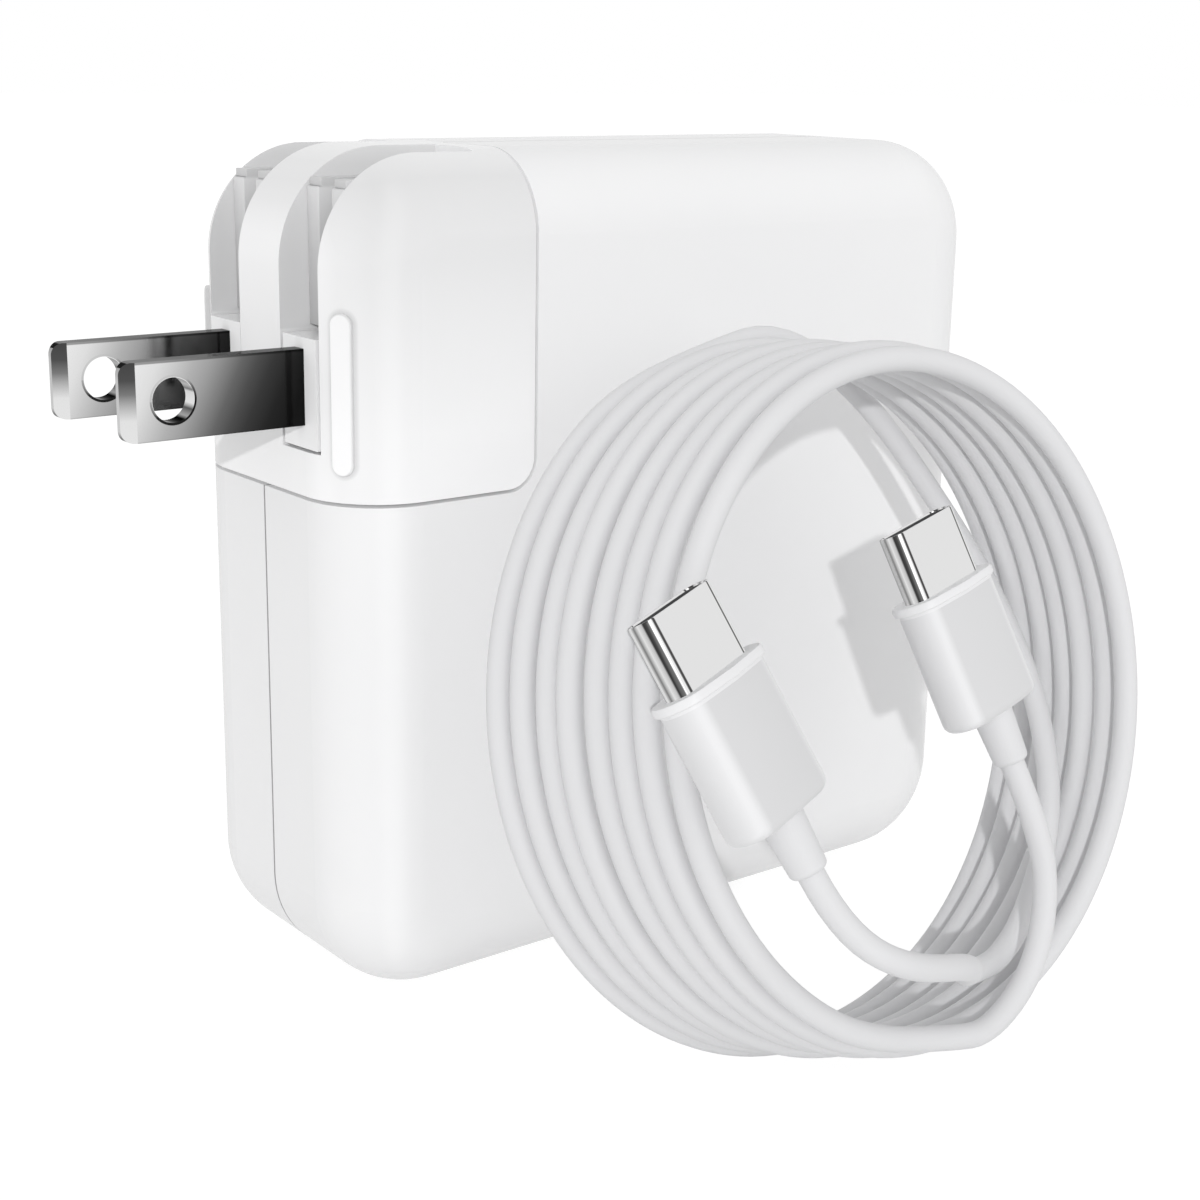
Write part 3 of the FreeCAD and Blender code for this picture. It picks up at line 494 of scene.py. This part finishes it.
def length_of(nodes, links, first, second):
    """The length of the diagonal over two sides."""
    first, second = (calc(nodes, links, "MULTIPLY", side, side) for side in (first, second))
    return calc(nodes, links, "SQRT", calc(nodes, links, "ADD", first, second))


def measured(nodes, links, vector, way):
    """How far a point lies along a direction."""
    dot = nodes.new("ShaderNodeVectorMath")
    dot.operation = "DOT_PRODUCT"
    dot.inputs[1].default_value = way
    links.new(vector, dot.inputs[0])
    return dot.outputs["Value"]


def share_of(nodes, links, value, start, length):
    """A value's way from start, as a share of length that stays between 0 and 1."""
    share = nodes.new("ShaderNodeMapRange")
    share.inputs["From Min"].default_value = start
    share.inputs["From Max"].default_value = start + length
    links.new(value, share.inputs["Value"])
    return share.outputs["Result"]


def along(nodes, links, vector, way, start, length):
    """How far a point lies from start along a direction, as a share of length."""
    return share_of(nodes, links, measured(nodes, links, vector, way), start, length)


def distance_from(nodes, links, vector, way, middle, less):
    """How far a point lies from a middle plane to either side, less an amount and not under nought."""
    offset = calc(nodes, links, "SUBTRACT", measured(nodes, links, vector, way), middle)
    offset = calc(nodes, links, "ABSOLUTE", offset)
    return calc(nodes, links, "MAXIMUM", calc(nodes, links, "SUBTRACT", offset, less), 0)


def tinted(material, level):
    """Multiply a material's colour by a level given as a socket."""
    nodes, links = material.node_tree.nodes, material.node_tree.links
    shader = nodes["Principled BSDF"]
    tint = nodes.new("ShaderNodeMix")
    tint.data_type = "RGBA"
    tint.blend_type = "MULTIPLY"
    tint.inputs["Factor"].default_value = 1.0
    links.new(shader.inputs["Base Color"].links[0].from_socket, tint.inputs["A"])
    links.new(level, tint.inputs["B"])
    links.new(tint.outputs["Result"], shader.inputs["Base Color"])


def places_of(material):
    """A material's nodes and links, and the place and the facing of a point on the piece."""
    nodes, links = material.node_tree.nodes, material.node_tree.links
    coordinates = nodes.new("ShaderNodeTexCoord")
    return nodes, links, coordinates.outputs["Object"], coordinates.outputs["Normal"]


def painted_seam_glow(material):
    """A painted glow: the walls of the narrow gap round the module give out light, standing in for light that white
    plastic passes into it.
    """
    nodes, links, where, normal = places_of(material)
    x, y, z = split(nodes, links, where)
    facing_y = split(nodes, links, normal)[1]
    right = calc(nodes, links, "SUBTRACT", x, (seam_x - seam_corner) * MM)
    low = calc(nodes, links, "SUBTRACT", (seam_z + seam_corner) * MM, z)
    right, low = (calc(nodes, links, "MAXIMUM", value, 0) for value in (right, low))
    away = length_of(nodes, links, right, low)
    within = calc(nodes, links, "COMPARE", away, seam_corner * MM, (seam_gap / 2 + seam_margin) * MM)
    turned = calc(nodes, links, "LESS_THAN", calc(nodes, links, "ABSOLUTE", facing_y), seam_facing)
    shader = nodes["Principled BSDF"]
    # painted glow: the gap's walls give out light
    links.new(calc(nodes, links, "MULTIPLY", within, turned), shader.inputs["Emission Color"])
    shader.inputs["Emission Strength"].default_value = seam_painted_glow


def make_housing_white_with_painted_light():
    """The housing's plastic, with painted shade in the narrow groove where its two shells meet and a painted glow in
    the gap round the module.
    """
    material = moulded("housing_plastic", housing_colour, 0.24, fine_grain, 0.08, coat=0.15)
    nodes, links, where, normal = places_of(material)
    # painted shade in the groove between the shells
    across = along(nodes, links, where, (0, 1, 0), -groove_width * MM, 2 * groove_width * MM)
    tinted(material, shaded(nodes, links, across, groove_painted_shade))
    painted_seam_glow(material)
    return material


def make_module_white():
    """The module's brighter plastic, with painted shade in its slots, on its rounded edges and towards its top, a
    painted highlight on its grip ribs ringed by painted shadow, and a painted glow in its gap.
    """
    material = moulded("module_plastic", module_colour, 0.24, fine_grain, 0.08, coat=0.15)
    nodes, links, where, normal = places_of(material)
    # painted shade in the slots, darker the lower it lies in them
    beside = distance_from(nodes, links, where, (0, 1, 0), 0, 0)
    within = calc(nodes, links, "COMPARE", beside, blade_spacing / 2 * MM, (slot_width / 2 + slot_margin) * MM)
    height = along(nodes, links, where, (0, 0, 1), slot_bottom * MM, (slot_top - slot_bottom) * MM)
    mask = calc(nodes, links, "MULTIPLY", within, shaded(nodes, links, height, slot_painted_shade_by_height))
    level = calc(nodes, links, "MULTIPLY_ADD", mask, slot_shade - 1.0, 1.0)

    # painted shade by facing: grey on the rounded left edge and the upward faces, and the broad faces greyer towards
    # the top
    x, y, z = split(nodes, links, normal)
    leftward = shaded(nodes, links, calc(nodes, links, "MULTIPLY", x, -1.0), left_edge_painted_shade)
    upward = shaded(nodes, links, z, upward_painted_shade)
    rise = along(nodes, links, where, (0, 0, 1), seam_z * MM, (slot_top - seam_z) * MM)
    loss = shaded(nodes, links, rise, broad_face_painted_shade)
    loss = calc(nodes, links, "MULTIPLY", calc(nodes, links, "ABSOLUTE", y), loss)
    for part in (leftward, upward, calc(nodes, links, "SUBTRACT", 1.0, loss)):
        level = calc(nodes, links, "MULTIPLY", level, part)

    # painted highlight on the grip ribs, ringed by painted shadow
    x, y, z = split(nodes, links, where)
    aside = calc(nodes, links, "MULTIPLY", x, rib_across.x)
    aside = calc(nodes, links, "MULTIPLY_ADD", beside, rib_across.y, aside)
    aside = calc(nodes, links, "SUBTRACT", aside, rib_middle.dot(rib_across) * MM)
    above = distance_from(nodes, links, where, (0, 0, 1), rib_middle.z * MM, (rib_length - rib_width) / 2 * MM)
    away = length_of(nodes, links, aside, above)
    edge = share_of(nodes, links, away, (rib_width / 2 - rib_painted_ring_width) * MM, 2 * rib_painted_ring_width * MM)
    ringed = calc(nodes, links, "SUBTRACT", shaded(nodes, links, edge, rib_painted_highlight_and_shadow), 1.0)
    outer = calc(nodes, links, "GREATER_THAN", beside, (rib_middle.y - rib_width) * MM)
    ringed = calc(nodes, links, "MULTIPLY_ADD", ringed, outer, 1.0)
    tinted(material, calc(nodes, links, "MULTIPLY", level, ringed))
    painted_seam_glow(material)
    return material


def make_step_white():
    """Painted shade on the steps in the slots: greyer plastic, darker the lower they reach, where less light comes,
    and on their cap.
    """
    material = moulded("slot_plastic", step_colour, 0.35, fine_grain, 0.08)
    nodes, links, where, normal = places_of(material)
    # painted shade, darker lower down and on the cap
    rise = along(nodes, links, where, (0, 0, 1), step_bottom * MM, (step_top + step_cap - step_bottom) * MM)
    tinted(material, shaded(nodes, links, rise, step_painted_shade))
    return material


def make_blade_metal():
    """Polished plate with a painted reflection that darkens from the tip to the root, and painted dark and bright
    reflections on its edges, tip and hole.
    """
    material = plated("blade_nickel", mirror_colour, 0.1, drawn_grain, 0.1)
    nodes, links, where, normal = places_of(material)
    nodes["Principled BSDF"].inputs["Specular Tint"].default_value = blade_glancing_tint
    facing_x, facing_y, facing_z = split(nodes, links, normal)
    way = Vector((1, 0, blade_slant)).normalized()
    start = way.dot(Vector((blade_tip, 0, blade_middle)))
    slanted = along(nodes, links, where, way, start * MM, blade_reach * MM)
    straight = along(nodes, links, where, (1, 0, 0), blade_tip * MM, blade_reach * MM)
    rise = along(nodes, links, where, (0, 0, 1), (blade_middle - blade_height / 2) * MM, blade_height * MM)
    # painted reflection on the faces, darker from the tip to the root and at the top and bottom edges
    face = calc(nodes, links, "MULTIPLY", shaded(nodes, links, slanted, blade_face_painted_reflection),
                shaded(nodes, links, rise, blade_edge_painted_reflection))

    centre = nodes.new("ShaderNodeVectorMath")
    centre.operation = "SUBTRACT"
    centre.inputs[1].default_value = ((blade_tip + blade_hole_from_tip) * MM, 0, blade_middle * MM)
    links.new(where, centre.inputs[0])
    x, y, z = split(nodes, links, centre.outputs["Vector"])
    away = length_of(nodes, links, x, z)
    turn_round = calc(nodes, links, "MULTIPLY_ADD", calc(nodes, links, "ARCTAN2", z, x), 0.5 / math.pi, 0.5)
    rim = calc(nodes, links, "MULTIPLY", face, shaded(nodes, links, turn_round, hole_rim_painted_reflection))

    # painted reflections on the top, the tapered sides, the end and round the hole
    result = face
    for value, operation, limit, special in (
            (facing_z, "GREATER_THAN", blade_up_facing, shaded(nodes, links, straight, blade_top_painted_reflection)),
            (facing_x, "LESS_THAN", blade_taper_facing, shaded(nodes, links, rise, blade_taper_painted_reflection)),
            (facing_x, "LESS_THAN", blade_end_facing, shaded(nodes, links, rise, blade_end_painted_reflection)),
            (away, "LESS_THAN", (blade_hole / 2 + hole_rim) * MM, rim),
            (away, "LESS_THAN", (blade_hole / 2 + hole_wall) * MM,
             shaded(nodes, links, turn_round, hole_wall_painted_reflection))):
        test = calc(nodes, links, operation, value, limit)
        result = chosen(nodes, links, test, result, special)
    tinted(material, result)
    return material


def make_plug_metal(side, plug):
    """Polished shell with painted reflection: the dark and bright stripes that rounded sides show."""
    material = plated(side + "_metal", mirror_colour, 0.1, (2500, 2500, 2500), 0.05)
    nodes, links, where, normal = places_of(material)
    place, base, way = plug_axes(plug)
    turned = place.to_3x3()
    wide, thick = turned.col[0].normalized(), turned.col[1].normalized()
    flat = (plug_metal_shell["width"] - plug_metal_shell["height"]) / 2
    beyond = distance_from(nodes, links, where, wide, base.dot(wide) * MM, flat * MM)
    depth = distance_from(nodes, links, where, thick, base.dot(thick) * MM, 0)
    angle = calc(nodes, links, "ARCTAN2", beyond, depth)
    quarter = calc(nodes, links, "DIVIDE", angle, math.pi / 2)
    # painted reflection: dark and bright stripes round the shell
    tinted(material, shaded(nodes, links, quarter, plug_metal_painted_reflection))
    return material


def make_plug_white(side, plug):
    """A plug body's plastic with painted light: paler on its rounded sides and its lip than on its flat faces."""
    material = moulded(side + "_plastic", plug_colour, 0.3, fine_grain, 0.08, coat=0.2)
    nodes, links, where, normal = places_of(material)
    place, base, way = plug_axes(plug)
    wide = place.to_3x3().col[0].normalized()
    aside = distance_from(nodes, links, where, wide, base.dot(wide) * MM, 0)
    aside = calc(nodes, links, "DIVIDE", aside, plug_body["width"] / 2 * MM)
    # painted light on the rounded sides and the lip, painted shade on the flat faces
    sides = shaded(nodes, links, aside, plug_side_painted_light)
    start = base.dot(way) + plug_relief["length"] + plug_body["length"] - plug_lip["length"] - plug_lip["overlap"]
    lip = along(nodes, links, where, way, start * MM, plug_lip["length"] * MM)
    tinted(material, calc(nodes, links, "MAXIMUM", sides, shaded(nodes, links, lip, plug_lip_painted_light)))
    return material


module_white = make_module_white()
step_white = make_step_white()


def dress(obj, material):
    obj.data.materials.clear()
    obj.data.materials.append(material)


def dress_nodes():
    for part in frame["record"]["subparts"]:
        dress(frame["nodes"][part["node"]], finishes[part["material_slot"]])
    for node in ("plug_shell", "blade_carrier", "plug_base"):
        dress(frame["nodes"][node], module_white)
    parted = make_housing_white_with_painted_light()
    for node in ("front_shell", "rear_shell"):
        dress(frame["nodes"][node], parted)
    blade_metal = make_blade_metal()
    for node in ("front_blade", "rear_blade"):
        dress(frame["nodes"][node], blade_metal)
        frame["nodes"][node].visible_glossy = False


# Steps in the module's slots


def make_slot_steps():
    """Blocks on both sides of each blade's path, a little behind the slot's mouth."""
    width = (slot_width - blade_thickness) / 2 - step_clearance
    for side, y in (("front", -blade_spacing / 2), ("rear", blade_spacing / 2)):
        pair = []
        for sign in (-1, 1):
            middle = y + sign * (slot_width - width) / 2
            for front, low, high in ((step_front, step_bottom, step_top),
                                     (step_front + step_cap_back, step_top, step_top + step_cap)):
                nothing_selected()
                bpy.ops.mesh.primitive_cube_add(size=1, location=((front + step_back) / 2, middle, (low + high) / 2))
                block = bpy.context.object
                block.scale = (step_back - front, width, high - low)
                bpy.ops.object.transform_apply(location=True, rotation=True, scale=True)
                in_edit(block)
                pick(block, "EDGE", lambda e: all(abs(v.co.x - front) < close for v in e.verts))
                bpy.ops.mesh.bevel(offset=step_edge, segments=3)
                bpy.ops.object.mode_set(mode="OBJECT")
                pair.append(block)
        nothing_selected()
        for block in pair:
            block.select_set(True)
        bpy.context.view_layer.objects.active = pair[0]
        bpy.ops.object.join()
        piece = bpy.context.object
        piece.name = side + "_slot_step"
        settle(piece, Matrix.Scale(MM, 4))
        dress(piece, step_white)
        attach(piece, "plug_module")


# Cable plugs, modelled once in millimetres and set in place twice

plug_body = {"width": 9.8, "height": 4.8, "length": 11.0, "edge": 0.8}
plug_flare = {"length": 0.2, "growth": 0.02}
plug_lip = {"rim": 0.35, "length": 0.7, "foot": 0.02, "edge": 0.1, "end": 0.15, "overlap": 0.3}
plug_metal_shell = {"width": 8.25, "height": 2.45, "reach": 5.6, "wall": 0.3, "edge": 0.1, "hidden": 0.2}
plug_insert = {"wall": 0.12, "set_back": 0.12, "depth": 4.4}
plug_relief = {"length": 4.4, "front": 1.65, "back": 1.42, "edge": 0.4}


def outline(name, width, height, z):
    """A flat stadium, wide along X, made from a circle whose halves are drawn apart."""
    nothing_selected()
    bpy.ops.mesh.primitive_circle_add(vertices=48, radius=height / 2, location=(0, 0, z), fill_type="NGON")
    obj = bpy.context.object
    obj.name = name
    bpy.ops.object.transform_apply(location=True, rotation=True, scale=True)
    slide = (width - height) / 2
    for vertex in obj.data.vertices:
        if abs(vertex.co.x) > close:
            vertex.co.x += math.copysign(slide, vertex.co.x)
    return obj


def raised(obj, steps):
    """Extrude a flat outline upwards in steps of height and growth."""
    in_edit(obj)
    bpy.ops.mesh.select_all(action="SELECT")
    for rise, grow in steps:
        bpy.ops.mesh.extrude_region_move(TRANSFORM_OT_translate={"value": (0, 0, rise)})
        if grow:
            mesh = bmesh.from_edit_mesh(obj.data)
            for vertex in [v for v in mesh.verts if v.select]:
                x = 0.0 if abs(vertex.co.x) < close else vertex.co.x
                core = math.copysign(max(0.0, abs(x) - plug_body["height"] / 2), x)
                way = Vector((vertex.co.x - core, vertex.co.y, 0))
                if way.length > close:
                    vertex.co += way.normalized() * grow
            bmesh.update_edit_mesh(obj.data)
    bpy.ops.mesh.select_all(action="SELECT")
    bpy.ops.mesh.normals_make_consistent(inside=False)
    bpy.ops.object.mode_set(mode="OBJECT")


def rounded_end(radius, steps):
    """Rises and growths that round an outline's lower edge."""
    moves = []
    for k in range(steps):
        a0, a1 = math.pi / 2 * k / steps, math.pi / 2 * (k + 1) / steps
        moves.append((radius * (math.cos(a0) - math.cos(a1)), radius * (math.sin(a1) - math.sin(a0))))
    return moves


def moulded_body():
    """The body from its rounded foot to the lip round its end."""
    size, flare, lip = plug_body, plug_flare, plug_lip
    obj = outline("plug_body", size["width"] - 2 * size["edge"], size["height"] - 2 * size["edge"],
                  plug_relief["length"])
    moves = rounded_end(size["edge"], 6)
    moves += [(size["length"] - size["edge"] - lip["length"] - flare["length"], 0),
              (flare["length"], flare["growth"]),
              (lip["foot"], lip["rim"] - lip["edge"] - flare["growth"]),
              (lip["edge"], lip["edge"]),
              (lip["length"] - lip["foot"] - lip["edge"] - lip["end"], 0),
              (lip["end"], -lip["edge"])]
    raised(obj, moves)
    return obj


def metal_tube():
    size = plug_metal_shell
    start = plug_relief["length"] + plug_body["length"] - size["hidden"]
    obj = outline("plug_metal_shell", size["width"], size["height"], start)
    in_edit(obj)
    bpy.ops.mesh.select_all(action="SELECT")
    bpy.ops.mesh.delete(type="ONLY_FACE")
    bpy.ops.mesh.select_all(action="SELECT")
    bpy.ops.mesh.extrude_region_move(TRANSFORM_OT_translate={"value": (0, 0, size["reach"] + size["hidden"])})
    bpy.ops.mesh.select_all(action="SELECT")
    bpy.ops.mesh.normals_make_consistent(inside=False)
    bpy.ops.object.mode_set(mode="OBJECT")
    wall = obj.modifiers.new("wall", "SOLIDIFY")
    wall.thickness = size["wall"]
    wall.offset = -1
    rim = obj.modifiers.new("rim", "BEVEL")
    rim.width = size["edge"]
    rim.segments = 3
    rim.limit_method = "ANGLE"
    apply_modifiers(obj)
    return obj


def contact_insert():
    """The dark lining with the slot that a port's tongue enters."""
    size = plug_metal_shell
    width, height = size["width"] - 2 * size["wall"], size["height"] - 2 * size["wall"]
    obj = outline("plug_insert", width, height, plug_relief["length"] + plug_body["length"])
    raised(obj, [(size["reach"] - plug_insert["set_back"], 0)])
    in_edit(obj)
    pick(obj, "FACE", lambda f: f.normal.z > 0.9)
    bpy.ops.mesh.inset(thickness=plug_insert["wall"])
    bpy.ops.mesh.extrude_region_move(TRANSFORM_OT_translate={"value": (0, 0, -plug_insert["depth"])})
    bpy.ops.object.mode_set(mode="OBJECT")
    return obj


def strain_relief():
    """The short round sleeve where the cable enters the body."""
    size = plug_relief
    nothing_selected()
    bpy.ops.mesh.primitive_cylinder_add(vertices=48, radius=size["back"], depth=size["length"],
                                        location=(0, 0, size["length"] / 2))
    obj = bpy.context.object
    obj.name = "plug_relief"
    bpy.ops.object.transform_apply(location=True, rotation=True, scale=True)
    in_edit(obj)
    pick(obj, "FACE", lambda f: f.normal.z > 0.9)
    grow = size["front"] / size["back"]
    bpy.ops.transform.resize(value=(grow, grow, 1), center_override=(0, 0, size["length"]))
    pick(obj, "EDGE", lambda e: all(v.co.z < close for v in e.verts))
    bpy.ops.mesh.bevel(offset=size["edge"], segments=5)
    bpy.ops.object.mode_set(mode="OBJECT")
    return obj


def make_plugs():
    """Two copies of the modelled plug, each with painted reflection on its metal and painted light on its plastic set
    for its own place.
    """
    made = {"body": (moulded_body(), "white_plastic"), "metal_shell": (metal_tube(), "nickel"),
            "insert": (contact_insert(), "black_plastic"), "strain_relief": (strain_relief(), "cable_sleeve")}
    own = {"body": make_plug_white, "metal_shell": make_plug_metal}
    pieces = []
    for side, plug in (("plug_a", plug_a), ("plug_b", plug_b)):
        place, base, way = plug_axes(plug)
        for part, (pattern, slot) in made.items():
            piece = copy_of(pattern, side + "." + part)
            settle(piece, place)
            dress(piece, own[part](side, plug) if part in own else finishes[slot])
            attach(piece, "housing")
            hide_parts(side + "_" + part)
            piece.visible_glossy = False
            pieces.append(piece)
    for pattern, slot in made.values():
        bpy.data.objects.remove(pattern)
    return pieces


# Floor, light and background

floor_size = 6
floor_colour = (0.9, 0.9, 0.9, 1)
floor_glow = 1.12
floor_glow_share = 0.82
room_light = 0.74
reflected_bands = ((-180, 0.9), (-126, 0.9), (-118, 1.8), (-95, 1.8), (-86, 0.9), (180, 0.9))
key_lamp = {"towards": (-0.60, -0.745, 0.29), "strength": 1.15, "spread": 1.2}
fill_lamp = {"towards": (0.5, -0.85, 0.1), "strength": 0.26, "spread": 60}


def make_floor():
    """Matt white that catches the shadows and otherwise looks as bright as the background."""
    nothing_selected()
    bpy.ops.mesh.primitive_plane_add(size=floor_size, location=(0, 0, 0))
    floor = bpy.context.object
    floor.name = "floor"
    material, nodes, links = new_material("floor")
    matt = nodes["Principled BSDF"]
    matt.inputs["Base Color"].default_value = floor_colour
    matt.inputs["Roughness"].default_value = 1.0
    matt.inputs["Specular IOR Level"].default_value = 0.0
    glow = nodes.new("ShaderNodeEmission")
    glow.inputs["Color"].default_value = (1, 1, 1, 1)
    glow.inputs["Strength"].default_value = floor_glow
    path = nodes.new("ShaderNodeLightPath")
    mix = nodes.new("ShaderNodeMixShader")
    seen = calc(nodes, links, "MULTIPLY", path.outputs["Is Camera Ray"], floor_glow_share)
    links.new(seen, mix.inputs["Fac"])
    links.new(matt.outputs["BSDF"], mix.inputs[1])
    links.new(glow.outputs["Emission"], mix.inputs[2])
    links.new(mix.outputs["Shader"], nodes["Material Output"].inputs["Surface"])
    floor.visible_glossy = False
    dress(floor, material)


def make_world():
    """White to the camera, even light, and for reflections a brighter strip in front of the adapter."""
    world = bpy.data.worlds.new("studio")
    scene.world = world
    world.use_nodes = True
    nodes, links = world.node_tree.nodes, world.node_tree.links
    back = nodes["Background"]
    back.inputs["Color"].default_value = (1, 1, 1, 1)
    x, y, z = split(nodes, links, nodes.new("ShaderNodeTexCoord").outputs["Generated"])
    levels = [((azimuth + 180) / 360, level) for azimuth, level in reflected_bands]
    bearing = calc(nodes, links, "ARCTAN2", y, x)
    bands = shaded(nodes, links, share_of(nodes, links, bearing, -math.pi, 2 * math.pi), levels)
    path = nodes.new("ShaderNodeLightPath")
    shiny = nodes.new("ShaderNodeMix")
    shiny.inputs["A"].default_value = room_light
    links.new(path.outputs["Is Glossy Ray"], shiny.inputs["Factor"])
    links.new(bands, shiny.inputs["B"])
    level = nodes.new("ShaderNodeMix")
    level.inputs["B"].default_value = 1.0
    links.new(path.outputs["Is Camera Ray"], level.inputs["Factor"])
    links.new(shiny.outputs["Result"], level.inputs["A"])
    links.new(level.outputs["Result"], back.inputs["Strength"])


def beam(name, towards, strength, spread):
    """A far lamp, given by the direction that it stands in and its width in degrees."""
    light = bpy.data.lights.new(name, "SUN")
    light.energy = strength
    light.angle = math.radians(spread)
    lamp = bpy.data.objects.new(name, light)
    scene.collection.objects.link(lamp)
    lamp.visible_glossy = False
    lamp.rotation_euler = Vector(towards).to_track_quat("Z", "Y").to_euler()


make_floor()
make_world()
beam("key", **key_lamp)
beam("fill", **fill_lamp)

dress_nodes()
make_slot_steps()
cable = make_cable()
dress(cable, sleeve)
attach(cable, "housing")
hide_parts("cable_coil", "cable_end_a", "cable_end_b")
plugs = make_plugs()
cable_exit = plug_axes(plug_a)[1] * MM
cable.visible_glossy = False
